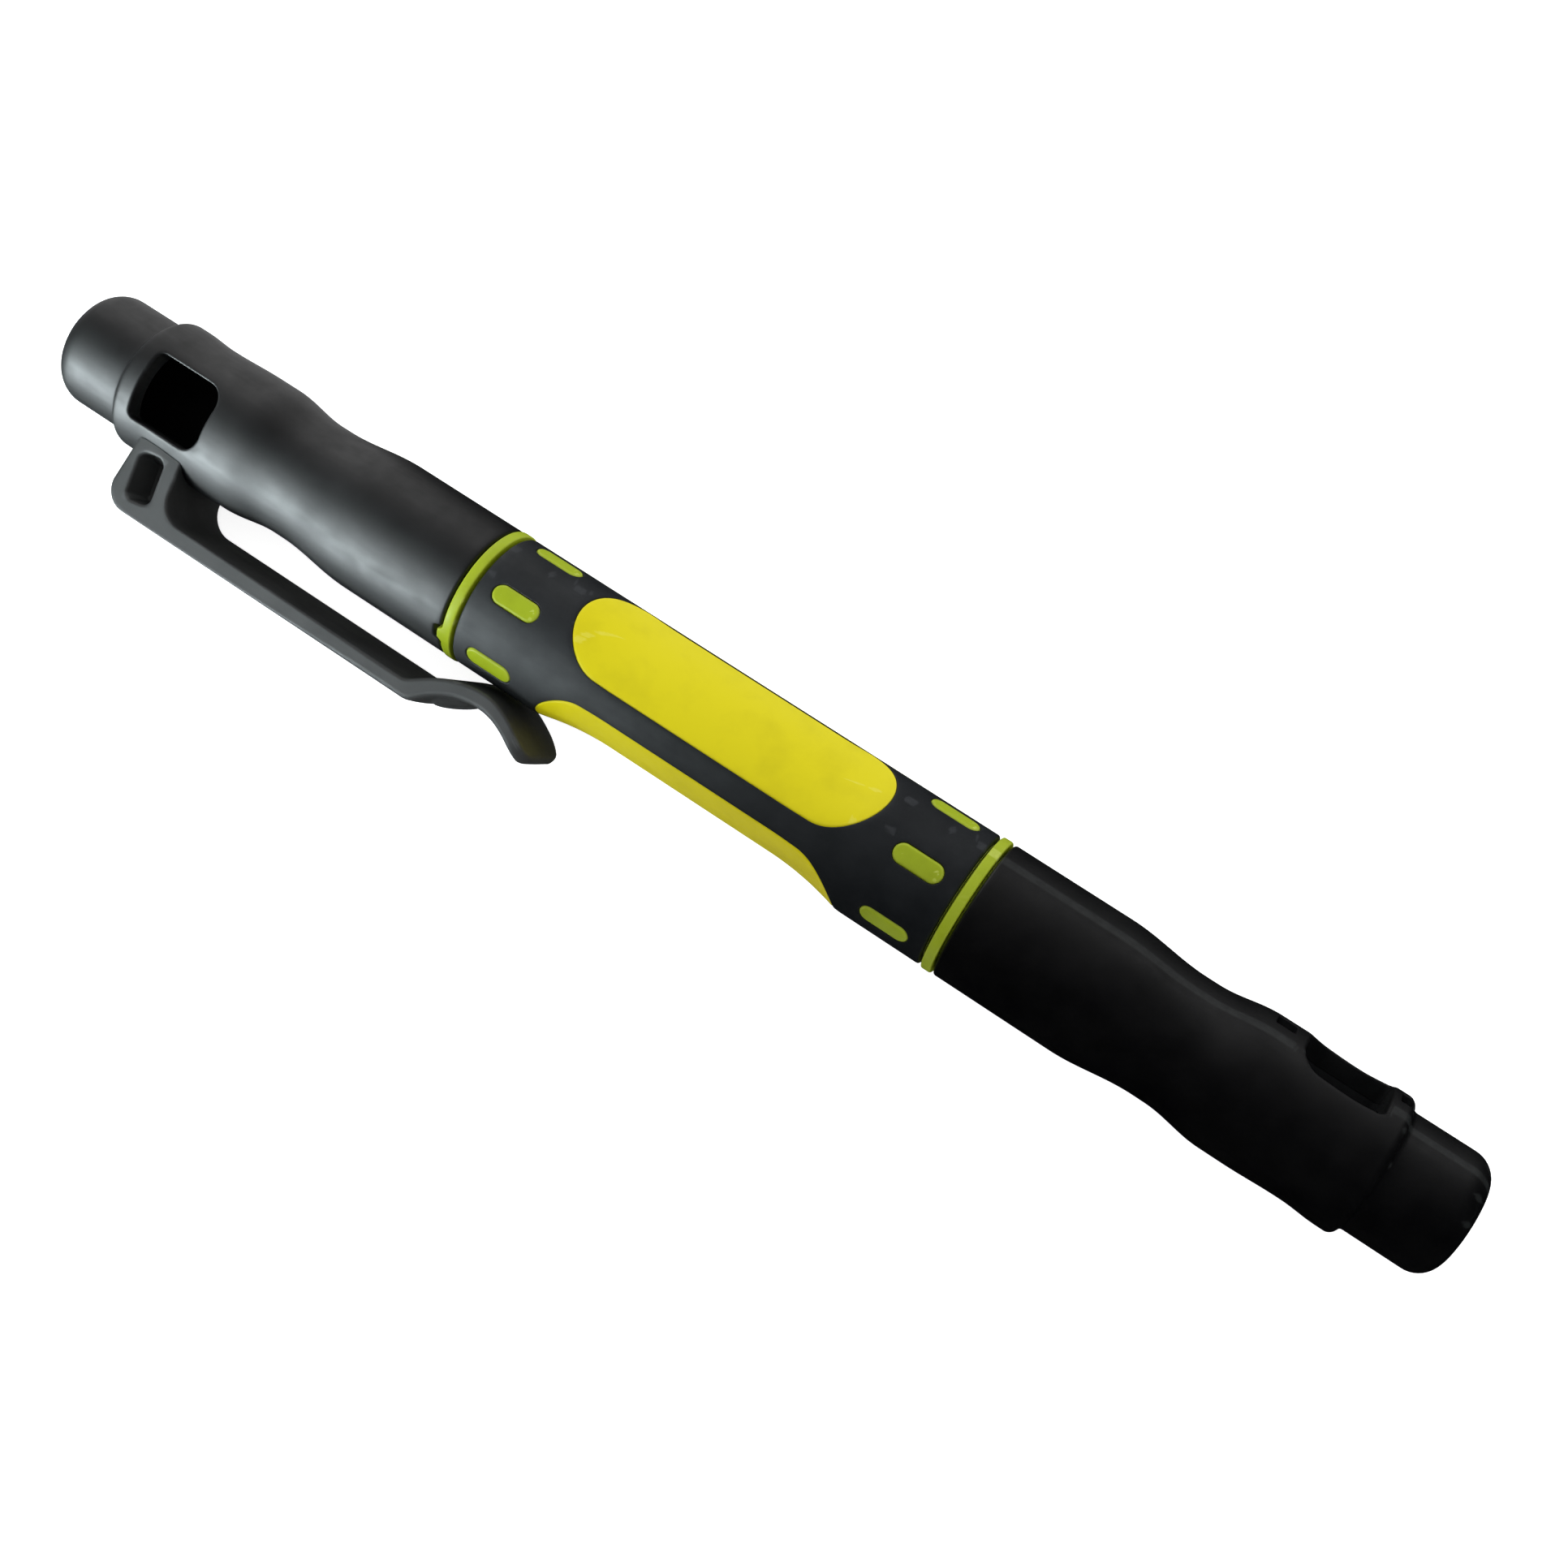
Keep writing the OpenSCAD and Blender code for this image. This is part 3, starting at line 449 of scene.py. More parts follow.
class Graph:
    """Short calls for the nodes of one material, on the object's own coordinates."""

    def __init__(self, name):
        self.material = bpy.data.materials.new(name)
        self.material.use_nodes = True
        self.tree = self.material.node_tree
        self.shader = self.tree.nodes["Principled BSDF"]
        self.place = self.node("ShaderNodeTexCoord").outputs["Object"]

    def node(self, kind, **settings):
        made = self.tree.nodes.new(kind)
        for key, value in settings.items():
            setattr(made, key, value)
        return made

    def link(self, source, target):
        self.tree.links.new(source, target)

    def set(self, **values):
        for key, value in values.items():
            self.shader.inputs[key.replace("_", " ")].default_value = value

    def stretched(self, scale):
        """Coordinates stretched by scale along x, y and z."""
        made = self.node("ShaderNodeMapping")
        made.inputs["Scale"].default_value = scale
        self.link(self.place, made.inputs["Vector"])
        return made.outputs["Vector"]

    def noise(self, size, detail=3.0, rough=0.5, vector=None):
        """Noise whose features are about size mm across."""
        made = self.node("ShaderNodeTexNoise")
        made.inputs["Scale"].default_value = 1 / (size * MM)
        made.inputs["Detail"].default_value = detail
        made.inputs["Roughness"].default_value = rough
        self.link(self.place if vector is None else vector, made.inputs["Vector"])
        return made.outputs["Fac"]

    def ramp(self, source, *stops):
        """Colour ramp over a value; each stop is (place, colour)."""
        made = self.node("ShaderNodeValToRGB")
        bar = made.color_ramp.elements
        while len(bar) < len(stops):
            bar.new(0.5)
        for element, (where, colour) in zip(bar, stops):
            element.position = where
            element.color = colour
        self.link(source, made.inputs["Fac"])
        return made.outputs["Color"]

    def spread(self, source, low, high):
        """Maps a value's middle range to low..high."""
        return self.remap(source, 0.3, 0.7, low, high)

    def remap(self, source, from_low, from_high, low=0.0, high=1.0):
        made = self.node("ShaderNodeMapRange")
        for target, value in zip(made.inputs[1:], (from_low, from_high, low, high)):
            target.default_value = value
        self.link(source, made.inputs["Value"])
        return made.outputs["Result"]

    def mix(self, share, a, b):
        """Mixes two colours; share, a and b are sockets or values."""
        made = self.node("ShaderNodeMix", data_type="RGBA")
        for key, value in ((0, share), (6, a), (7, b)):
            if hasattr(value, "is_output"):
                self.link(value, made.inputs[key])
            else:
                made.inputs[key].default_value = value
        return made.outputs[2]

    def edges(self, low=0.52, high=0.6):
        """Share of the outer edges, from the mesh's own sharpness, broken up by noise: wear on moulded
        parts, a painted highlight on the bright rubber rims.
        """
        point = self.node("ShaderNodeNewGeometry").outputs["Pointiness"]
        made = self.node("ShaderNodeMath", operation="MULTIPLY")
        self.link(self.remap(point, low, high), made.inputs[0])
        self.link(self.noise(0.6, 4, 0.6), made.inputs[1])
        return made.outputs[0]

    def bump(self, *layers):
        """Stacks bumps; each layer is (height, distance in mm, strength)."""
        normal = None
        for height, distance, strength in layers:
            made = self.node("ShaderNodeBump")
            made.inputs["Distance"].default_value = distance * MM
            made.inputs["Strength"].default_value = strength
            self.link(height, made.inputs["Height"])
            if normal is not None:
                self.link(normal, made.inputs["Normal"])
            normal = made.outputs["Normal"]
        self.link(normal, self.shader.inputs["Normal"])

    def colour(self, socket):
        self.link(socket, self.shader.inputs["Base Color"])

    def roughness(self, socket):
        self.link(socket, self.shader.inputs["Roughness"])


def moulded(name, dark, light, worn, rough, grain=0.16, grain_depth=0.006, **settings):
    """Moulded plastic or rubber: cloudy colour, fine spark grain, faint rubs and worn edges."""
    g = Graph(name)
    cloud = g.noise(4.0, 4, 0.55)
    body = g.ramp(cloud, (0.35, dark), (0.65, light))
    g.colour(g.mix(g.edges(), body, worn))
    rubs = g.noise(0.5, 3, 0.6, g.stretched((0.12, 1, 1)))
    patchy = g.mix(0.35, g.noise(1.6, 4, 0.6), rubs)
    g.roughness(g.spread(patchy, rough - 0.06, rough + 0.07))
    g.bump((g.noise(grain, 2, 0.5), grain_depth, 0.5), (g.noise(2.2, 2, 0.4), 0.012, 0.25))
    g.set(**settings)
    return g.material


def cap_black():
    return moulded("cap_black", srgb(4, 4, 5), srgb(8, 8, 9), srgb(30, 33, 33), 0.55,
                   Specular_IOR_Level=1.0)


def clip_black():
    return moulded("clip_black", srgb(38, 39, 39), srgb(47, 48, 48), srgb(68, 70, 70), 0.58,
                   Specular_IOR_Level=0.7)


def liner_black():
    return moulded("liner_black", srgb(10, 11, 12), srgb(15, 16, 17), srgb(26, 27, 28), 0.6)


def sleeve_rubber():
    return moulded("sleeve_rubber", srgb(12, 15, 18), srgb(19, 22, 25), srgb(38, 41, 45), 0.62,
                   grain=0.1, grain_depth=0.008, Specular_IOR_Level=0.85)


def bright_rubber(name, deep, main, pale, rough):
    """Coloured soft rubber, a little translucent, with a faint mottle and a painted highlight in pale on
    its rims.
    """
    g = Graph(name)
    body = g.ramp(g.noise(3.5, 4, 0.55), (0.3, deep), (0.55, main))
    # the pale colour on the sharp rims, broken up by noise, is a painted highlight
    g.colour(g.mix(g.edges(0.515, 0.57), body, pale))
    g.roughness(g.spread(g.noise(0.9, 4, 0.6), rough - 0.05, rough + 0.08))
    g.bump((g.noise(0.09, 2, 0.5), 0.004, 0.5), (g.noise(1.8, 2, 0.4), 0.015, 0.25))
    g.set(Specular_IOR_Level=0.16, Subsurface_Weight=0.06, Subsurface_Scale=0.0006)
    g.shader.inputs["Subsurface Radius"].default_value = (1.0, 0.9, 0.3)
    return g.material


# The third colour of each bright rubber below is its painted rim highlight.
def panel_yellow():
    return bright_rubber("panel_yellow", srgb(190, 179, 3), srgb(198, 187, 4), srgb(204, 197, 72), 0.45)


def core_lime():
    return bright_rubber("core_lime", srgb(129, 144, 18), srgb(140, 156, 25), srgb(176, 187, 88), 0.36)


def button_yellow():
    return bright_rubber("button_yellow", srgb(204, 196, 10), srgb(218, 208, 12), srgb(214, 208, 84), 0.4)


def metal(name, dark, light, rough, grain=0.4):
    """Drawn metal with fine lines along the pen and a little tarnish."""
    g = Graph(name)
    g.colour(g.ramp(g.noise(1.4, 4, 0.6), (0.35, dark), (0.65, light)))
    lines = g.noise(grain, 3, 0.6, g.stretched((0.06, 1, 1)))
    g.roughness(g.spread(lines, rough - 0.08, rough + 0.1))
    g.bump((lines, 0.003, 0.4))
    g.set(Metallic=1.0)
    return g.material


def cell_steel():
    return metal("cell_steel", srgb(176, 178, 180), srgb(206, 208, 210), 0.26)


def contact_brass():
    return metal("contact_brass", srgb(190, 150, 78), srgb(216, 182, 110), 0.3)


def bezel_chrome():
    return metal("bezel_chrome", srgb(196, 199, 203), srgb(222, 224, 228), 0.16)


def plug_grey():
    return moulded("plug_grey", srgb(118, 121, 124), srgb(138, 141, 144), srgb(168, 170, 172), 0.45)


def holder_white():
    return moulded("holder_white", srgb(178, 175, 165), srgb(192, 190, 181), srgb(206, 204, 197), 0.38,
                   Subsurface_Weight=0.1, Subsurface_Scale=0.001)


def cup_soft():
    return moulded("cup_soft", srgb(188, 188, 180), srgb(204, 204, 197), srgb(220, 220, 214), 0.5)


def seal_rubber():
    return moulded("seal_rubber", srgb(13, 13, 14), srgb(20, 20, 21), srgb(34, 34, 35), 0.48)


def fibre(name, dark, light, stain):
    """Bundled fibres along the pen, with ink soaked in at places."""
    g = Graph(name)
    strands = g.noise(0.12, 3, 0.6, g.stretched((0.05, 1, 1)))
    body = g.ramp(strands, (0.35, dark), (0.65, light))
    g.colour(g.mix(g.spread(g.noise(1.5, 3, 0.6), 0.0, 0.45), body, stain))
    g.roughness(g.spread(strands, 0.8, 0.95))
    g.bump((strands, 0.03, 0.8))
    g.set(Sheen_Weight=0.25, Sheen_Roughness=0.5)
    return g.material


def nib_felt():
    return fibre("nib_felt", srgb(150, 112, 52), srgb(196, 158, 92), srgb(118, 74, 24))


def store_fibre():
    return fibre("store_fibre", srgb(176, 156, 112), srgb(212, 196, 150), srgb(150, 112, 52))


def board_green():
    """Circuit board with its glass weave under the lacquer."""
    g = Graph("board_green")
    weave = g.node("ShaderNodeTexBrick")
    weave.inputs["Scale"].default_value = 2400
    weave.inputs["Color1"].default_value = srgb(26, 92, 44)
    weave.inputs["Color2"].default_value = srgb(32, 104, 52)
    weave.inputs["Mortar"].default_value = srgb(20, 74, 36)
    g.link(g.place, weave.inputs["Vector"])
    g.colour(g.mix(g.spread(g.noise(0.9), 0.0, 0.5), weave.outputs["Color"], srgb(40, 116, 60)))
    g.roughness(g.spread(g.noise(0.6), 0.22, 0.36))
    g.bump((weave.outputs["Fac"], 0.01, 0.4))
    g.set(Coat_Weight=0.5)
    return g.material


def led_clear():
    """Clear epoxy with a violet cast, faint flow marks and a lightly frosted skin."""
    g = Graph("led_clear")
    g.colour(g.ramp(g.noise(1.2), (0.3, srgb(214, 212, 244)), (0.7, srgb(232, 230, 250))))
    g.roughness(g.spread(g.noise(0.5, 4), 0.04, 0.14))
    g.bump((g.noise(1.6, 2), 0.02, 0.2))
    g.set(Transmission_Weight=0.85, IOR=1.52)
    return g.material


MATERIALS = {make.__name__: make() for make in (
    cap_black, clip_black, liner_black, cup_soft, core_lime, sleeve_rubber, panel_yellow,
    holder_white, nib_felt, store_fibre, plug_grey, seal_rubber, cell_steel, contact_brass,
    board_green, led_clear, bezel_chrome, button_yellow)}


# ---- Caps ----
def corner_loss(x, start, size):
    """How far a rounded corner of that size, which begins at start, falls below its side."""
    over = np.clip((x - start) / size, 0, 1)
    return size * (1 - np.sqrt(1 - over ** 2))


def cap_radius(x, turn=None):
    """Outside radius of a cap from its mouth to the end of its hood."""
    radius = before = CAP_R
    for start, end, after in CAP_WAVES:
        radius = radius + (after - before) * smooth((x - start) / (end - start))
        before = after
    radius = radius - corner_loss(x, HOOD_END_X - HOOD_ROUND, HOOD_ROUND)
    return radius - corner_loss(-x, -RING_X - LIP_ROUND, LIP_ROUND)


def cap_outside(marks):
    """Outline of a cap's outside from its mouth to the middle of its end."""
    lip = [RING_X + LIP_ROUND * (1 - c) for s, c in quarter()]
    lean = math.asin((STUB_R + ROOT_ROUND - FLARE_R + HOOD_ROUND) / (HOOD_ROUND + ROOT_ROUND))
    hood_round = HOOD_END_X - HOOD_ROUND * (1 - np.sin(np.linspace(0, math.pi / 2 - lean, 9)))
    rest = [*stations([WINDOW[1], hood_round[0]], 0.3)[:-1], *hood_round]
    x = np.concatenate([
        lip[:-1],
        stations([lip[-1], BODY_END_X, *WAIST, marks[0]], 0.35)[:-1],
        marks,
        [v for v in rest if v > marks[-1] + 0.02],
    ])
    hood = np.stack([x, cap_radius(x)], -1)
    root_x = HOOD_END_X - HOOD_ROUND + (HOOD_ROUND + ROOT_ROUND) * math.cos(lean)
    root = [(root_x - ROOT_ROUND * math.cos(a), STUB_R + ROOT_ROUND * (1 - math.sin(a)))
            for a in np.linspace(lean, math.pi / 2, 7)[1:]]
    stub = [(v, STUB_R) for v in np.linspace(root_x + 0.3, END_X - STUB_ROUND, 8)]
    corner = [(END_X - STUB_ROUND * (1 - s), STUB_R - STUB_ROUND * (1 - c))
              for s, c in quarter(12)][1:]
    end = [(END_X, (STUB_R - STUB_ROUND) * share) for share in (0.6, 0.25, 0)]
    return np.concatenate([hood, root, stub, corner, end])


def cap_inside(marks):
    """Outline of a cap's bore from its mouth to the middle of its end wall."""
    lead = 0.3
    return np.array([
        (RING_X, MOUTH_BORE_R + lead), (RING_X + lead, MOUTH_BORE_R),
        (BORE_STEP_X - 4, MOUTH_BORE_R), (BORE_STEP_X, MOUTH_BORE_R),
        (BORE_STEP_X + 1, DEEP_BORE_R), (BORE_STEP_X + 7, DEEP_BORE_R),
        *[(x, DEEP_BORE_R) for x in marks],
        (BORE_END_X - 1, DEEP_BORE_R), (BORE_END_X, DEEP_BORE_R - 1), (BORE_END_X, 0),
    ])


def from_key(turn):
    """Degrees between a turn and the middle of the key."""
    return np.abs(np.degrees(np.angle(np.exp(1j * (turn - math.radians(KEY_TURN))))))


def key_notch(x, turn):
    """Room for the barrel's key, cut into the clip cap's mouth."""
    room = 0.1
    wide = math.degrees((KEY_HALF_W + room) / CAP_R)
    return (KEY_LEN + room) * smooth((wide + 2 - from_key(turn)) / 2) * smooth((RING_X + 2 - x) / 2)


def cap(name, node, side, window_turn, latches, notch):
    """A cap: turned shell with a window, and short latch slots in line with it."""
    start = window_turn - 180
    turns = around(start)
    openings = [(WINDOW_CELL, rounded_slot(*WINDOW, WINDOW_HALF_W, *WINDOW_ROUND), RIM)]
    for x0, x1 in latches:
        slot = rounded_slot(x0, x1, LATCH_HALF_W, LATCH_ROUND, LATCH_ROUND)
        openings.append(((x0 - 0.25, x1 + 0.25, LATCH_REACH), slot, LATCH_ROUND))
    marks = sorted({mark for cell, _, _ in openings for mark in cell[:2]})
    fine = sorted(set(np.concatenate([
        stations([a, b], 0.2 if b < WINDOW[1] + 1 else 0.1) for a, b in zip(marks, marks[1:])])))
    shell = Shell()
    outside, inside = cap_outside(fine), cap_inside(fine)
    gaps_out, gaps_in = [], []
    for (x0, x1, reach), slot, rim in openings:
        j0, j1 = (int(window_turn + way * reach - start) // TURN_STEP for way in (-1, 1))
        rows = np.array([x for x in fine if x0 - 1e-6 < x < x1 + 1e-6])
        for outline, gaps in ((outside, gaps_out), (inside, gaps_in)):
            i0 = int(np.argmin(np.abs(outline[:, 0] - x0)))
            gaps.append((i0, i0 + len(rows) - 1, j0, j1))
        columns = np.radians(window_turn + np.arange(-reach, reach + 1, TURN_STEP))
        hole = Hole(shell, rows, columns, math.radians(window_turn), slot, side)
        hole.through(cap_radius, tube(DEEP_BORE_R), rim)
    shift = key_notch if notch else None
    revolve(shell, outside, turns, side, gaps_out, shift=shift)
    revolve(shell, inside, turns, side, gaps_in, shift=shift)
    revolve(shell, [inside[0], outside[0]], turns, side, shift=shift)
    piece(shell, name, node, "cap_black", node)


def caps():
    cap("clip_cap_shell", "clip_cap", -1, CLIP_DEGREES + 90, (), True)
    cap("lamp_cap_shell", "lamp_cap", 1, LAMP_WINDOW_TURN, LATCHES, False)


# ---- Grip ----
SCOOP_AXIS = (GRIP_R ** 2 - SCOOP_R ** 2) / (2 * (SCOOP_R - GRIP_R * math.cos(PANEL_EDGE_TURN)))
SCOOP_RISE = GRIP_R - SCOOP_R
SCOOP_RUN = PANEL_HALF_LEN + 0.25 - SCOOP_FLAT
SCOOP_END_R = (SCOOP_RUN ** 2 + SCOOP_RISE ** 2) / (2 * SCOOP_RISE)
PANEL_TURNS = [math.radians(PANEL_TURN + 120 * k) for k in range(3)]


def grip_radius(x, turn):
    """Outside of the grip: a round bar with three long hollows, their edges softened."""
    soft = 0.05
    nearest = np.angle(np.exp(3j * (turn - PANEL_TURNS[0]))) / 3
    run = np.clip(np.abs(x) - SCOOP_FLAT, 0, None)
    reach = SCOOP_AXIS + SCOOP_R + SCOOP_END_R - np.sqrt(SCOOP_END_R ** 2 - run ** 2)
    hollow = (np.sqrt(reach ** 2 - (SCOOP_AXIS * np.sin(nearest)) ** 2)
              - SCOOP_AXIS * np.cos(nearest))
    bar = GRIP_R - corner_loss(np.abs(x), SLEEVE_X - SLEEVE_ROUND, SLEEVE_ROUND)
    return np.minimum(hollow, bar) - soft * np.log1p(np.exp(-np.abs(hollow - bar) / soft))


def dash_shape(side):
    return rounded_slot(side * DASH_X - DASH_HALF_LEN, side * DASH_X + DASH_HALF_LEN,
                        DASH_HALF_W, DASH_HALF_W, DASH_HALF_W)


def panel_shape():
    return rounded_slot(-PANEL_HALF_LEN, PANEL_HALF_LEN, PANEL_HALF_W, PANEL_HALF_W, PANEL_HALF_W)


def grip_sleeve():
    """Black rubber sleeve with pockets for the three panels and openings for the dashes."""
    shell = Shell()
    panel_rows = stations([-CORE_STEP_X, CORE_STEP_X], 0.3)
    right = [CORE_STEP_X, *stations(DASH_CELL, 0.2)]
    ends = [SLEEVE_X - SLEEVE_ROUND * (1 - s) for s, c in quarter()]
    half = [*right, *ends]
    x = np.array([*[-v for v in half[::-1]], *panel_rows[1:-1], *half])
    outside = np.stack([x, np.zeros_like(x)], -1)
    gaps_out, gaps_in = [], []
    low = int(np.argmin(np.abs(x + CORE_STEP_X)))
    gaps_out.append((low, low + len(panel_rows) - 1, 0, COLUMNS))
    step_x = CORE_STEP_X - 2 * EASE
    inner_half = [(step_x, CORE_THIN_R + EASE), (step_x, SLEEVE_BORE_R),
                  *[(v, SLEEVE_BORE_R) for v in right[1:]], (SLEEVE_X, SLEEVE_BORE_R)]
    inside = np.array([*[(-v, r) for v, r in inner_half[::-1]], *inner_half])
    for side in (-1, 1):
        rows = np.sort(side * stations(DASH_CELL, 0.2))
        for outline, gaps in ((outside, gaps_out), (inside, gaps_in)):
            i0 = int(np.argmin(np.abs(outline[:, 0] - rows[0])))
            gaps.append((i0, i0 + len(rows) - 1, 0, COLUMNS))
        for k in range(6):
            middle = PANEL_TURN - 30 + 60 * k
            columns = np.radians(middle + np.arange(-30, 31, TURN_STEP))
            hole = Hole(shell, rows, columns, math.radians(middle), dash_shape(side))
            hole.through(grip_radius, tube(SLEEVE_BORE_R), 0.1)
    for turn in PANEL_TURNS:
        columns = turn + np.radians(np.arange(-60, 61, TURN_STEP))
        hole = Hole(shell, panel_rows, columns, turn, panel_shape())
        hole.blind(grip_radius, 0.12, PANEL_T)
    turns = around(PANEL_TURN - 60)
    revolve(shell, outside, turns, gaps=gaps_out, skin=lambda x, r, turn: grip_radius(x, turn))
    revolve(shell, inside, turns, gaps=gaps_in)
    for end in (-SLEEVE_X, SLEEVE_X):
        edge = place(end, grip_radius(np.full(COLUMNS, end), turns), turns)
        shell.grid([place(end, SLEEVE_BORE_R, turns), edge], wrap=True)
    piece(shell, "grip_sleeve_form", "barrel", "sleeve_rubber", "grip_sleeve")


def grip_panels():
    """Three bright inlays, each flush with the hollow it lies in."""
    for k, turn in enumerate(PANEL_TURNS, 1):
        shell = Shell()
        outline, out = panel_shape()(*PANEL_EDGE)
        pad(shell, outline - out * 2 * EASE, out, turn, grip_radius, PANEL_T - 2 * EASE, 0.14)
        name = f"grip_panel_{k}"
        piece(shell, name + "_inlay", "barrel", "panel_yellow", name)


def dash_pads():
    """Twelve lime dashes of the core that stand in the sleeve's openings."""
    shell = Shell()
    height = DASH_TOP_R - CORE_WIDE_R - 2 * EASE
    for side in (-1, 1):
        for k in range(6):
            outline, out = dash_shape(side)(*DASH_EDGE)
            turn = math.radians(PANEL_TURN - 30 + 60 * k)
            pad(shell, outline - out * 0.03, out, turn, tube(DASH_TOP_R), height, 0.24)
    piece(shell, "dash_pads", "barrel", "core_lime")


def rounded_ring(x0, x1, low0, low1):
    """Outline of a ring with rounded edges, up its face at x0 and down its face at x1."""
    size = 0.16
    rise = [(x0 + size * (1 - c), RING_R - size * (1 - s)) for s, c in quarter()]
    fall = [(x1 - size * (1 - s), RING_R - size * (1 - c)) for s, c in quarter()]
    return [(x0, low0), *rise, *fall, (x1, low1)]


def snap_bead(side, x_from, x_to):
    """Outline of a tenon's side with its low snap bead, from one station to the other."""
    half, rise = 0.6, 0.03
    x = stations([x_from, side * SNAP_X - half, x_to], 0.4)
    return [(v, TENON_R + rise * smooth(1 - abs(abs(v) - SNAP_X) / half)) for v in x]


def key_bump(x, turn):
    """The key: a block of the ring that stands out towards the clip cap."""
    wide = math.degrees(KEY_HALF_W / CAP_R)
    on_face = np.abs(x + RING_X - SEAM) < 0.3
    return -KEY_LEN * smooth((wide + 1 - from_key(turn)) / 1.5) * on_face


def barrel_core():
    """Lime tube: tenon, ring with its key, and the wall under the sleeve."""
    shell = Shell()
    turns = around(KEY_TURN)
    ring = rounded_ring(-RING_X + SEAM, -RING_X + RING_W - SEAM, TENON_R, CORE_WIDE_R)
    seat = RING_X - RING_W - 0.02
    outline = [
        (-TENON_X, STORE_BORE_R), (-TENON_X, TENON_R - 0.4), (-TENON_X + 0.12, TENON_R - 0.15),
        (-TENON_X + 0.4, TENON_R), *snap_bead(-1, -TENON_X + 0.8, -RING_X - 0.2),
        *ring,
        (-CORE_STEP_X, CORE_WIDE_R), (-CORE_STEP_X, CORE_THIN_R),
        (CORE_STEP_X, CORE_THIN_R), (CORE_STEP_X, CORE_WIDE_R), (seat, CORE_WIDE_R),
        (seat, LAMP_BORE_R), (LAMP_BORE_X, LAMP_BORE_R), (LAMP_BORE_X, STORE_BORE_R),
        (-TENON_X, STORE_BORE_R),
    ]
    revolve(shell, outline, turns, shift=key_bump)
    piece(shell, "barrel_core_form", "barrel", "core_lime", "barrel_core")


# ---- Clip ----
def bezier(a, b, c, d, count):
    """Points of a cubic curve from a to d, drawn towards b and c."""
    t = np.linspace(0, 1, count)[:, None]
    a, b, c, d = map(np.array, (a, b, c, d))
    return a * (1 - t) ** 3 + 3 * b * t * (1 - t) ** 2 + 3 * c * t * t * (1 - t) + d * t ** 3


def clip_rails():
    """Outer and inner edge of the clip's side, from the top of its foot to its tip."""
    turn = np.linspace(0, math.pi / 2, 13)
    corner = np.stack([np.cos(turn), np.sin(turn)], -1)
    inner_y = CLIP_OUT_R - CLIP_T
    outer_spot = np.array([FOOT_X + FOOT_LEAN, CLIP_OUT_R]) - FOOT_ROUND
    inner_spot = np.array([FOOT_IN_X - FOOT_LEAN, inner_y]) - FOOT_FILLET
    outer, inner = [outer_spot + FOOT_ROUND * corner], [inner_spot + FOOT_FILLET * corner]
    share = np.linspace(0, 1, 56)[1:-1, None]
    for rail, start, y in ((outer, KNEE_OUT_X, CLIP_OUT_R), (inner, KNEE_IN_X, inner_y)):
        rail.append(rail[0][-1] * (1 - share) + np.array([start, y]) * share)
    outer += [
        bezier((KNEE_OUT_X, CLIP_OUT_R), (24.1, CLIP_OUT_R), (23.75, 10.4), (23.3, 9.97), 11),
        bezier((23.3, 9.97), (22.2, 8.92), (20.6, 7.8), (18.2, 7.77), 27)[1:],
        bezier((18.2, 7.77), (16.6, 7.75), (15.2, 8.55), (13.45, 9.75), 27)[1:],
    ]
    inner += [
        bezier((KNEE_IN_X, inner_y), (25.0, inner_y), (24.8, 8.88), (24.5, 8.66), 11),
        bezier((24.5, 8.66), (22.9, 7.5), (21.0, 6.38), (18.4, 6.32), 27)[1:],
        bezier((18.4, 6.32), (16.9, 6.28), (15.3, 7.0), (12.95, 8.65), 27)[1:],
    ]
    outer, inner = np.concatenate(outer), np.concatenate(inner)
    half = (outer[-1] - inner[-1]) / 2
    middle = inner[-1] + half
    ahead = np.array([-half[1], half[0]])
    ends = [(middle + ahead * s, half * c) for s, c in quarter(7)[1:]]
    outer = np.concatenate([outer, [spot + out for spot, out in ends]])
    inner = np.concatenate([inner, [spot - out for spot, out in ends]])
    return outer, inner


def clip_point(x, y, w):
    """World point in mm of a place in the clip's side plane, w across from its middle."""
    return beside(-x, w, y, CLIP_TURN)


def section(thickness, half_w, crown):
    """One cross-section of the clip: share of the way in from the outer face, and w across."""
    outer_r = OUTER_EDGE_R * min(1, thickness)
    inner_r = INNER_EDGE_R * min(1, thickness)
    flat = half_w - outer_r
    under_w = half_w - inner_r
    face = [(-crown * (1 - (w / flat) ** 2), w) for w in np.linspace(-flat, flat, FACE_POINTS + 2)[1:-1]]
    side = [(outer_r * (1 - c), flat + outer_r * s) for s, c in quarter(EDGE_POINTS)]
    side += [(depth, half_w) for depth in np.linspace(outer_r, thickness - inner_r, SIDE_POINTS + 2)[1:-1]]
    side += [(thickness - inner_r * (1 - s), under_w + inner_r * c) for s, c in quarter(EDGE_POINTS)]
    under = [(thickness, w) for w in np.linspace(under_w, -under_w, UNDER_POINTS + 2)[1:-1]]
    depth, across = np.array(face + side + under + [(d, -w) for d, w in side[::-1]]).T
    return depth / thickness, across


def zipped(across):
    """Widths of a section whose two faces meet, each point moved to where its opposite one is."""
    opposite = (NEAR_SIDE[0] + FAR_SIDE[1] - RING_POINTS // 2 - np.arange(RING_POINTS)) % RING_POINTS
    return (across + across[opposite]) / 2


def lift_pad(x, w):
    """Height of the low round pad on the outside of the toe."""
    reach = ((x - PAD_X) / PAD_HALF[0]) ** 2 + (w / PAD_HALF[1]) ** 2
    return PAD_H * np.clip(1 - reach, 0, None) ** 0.7


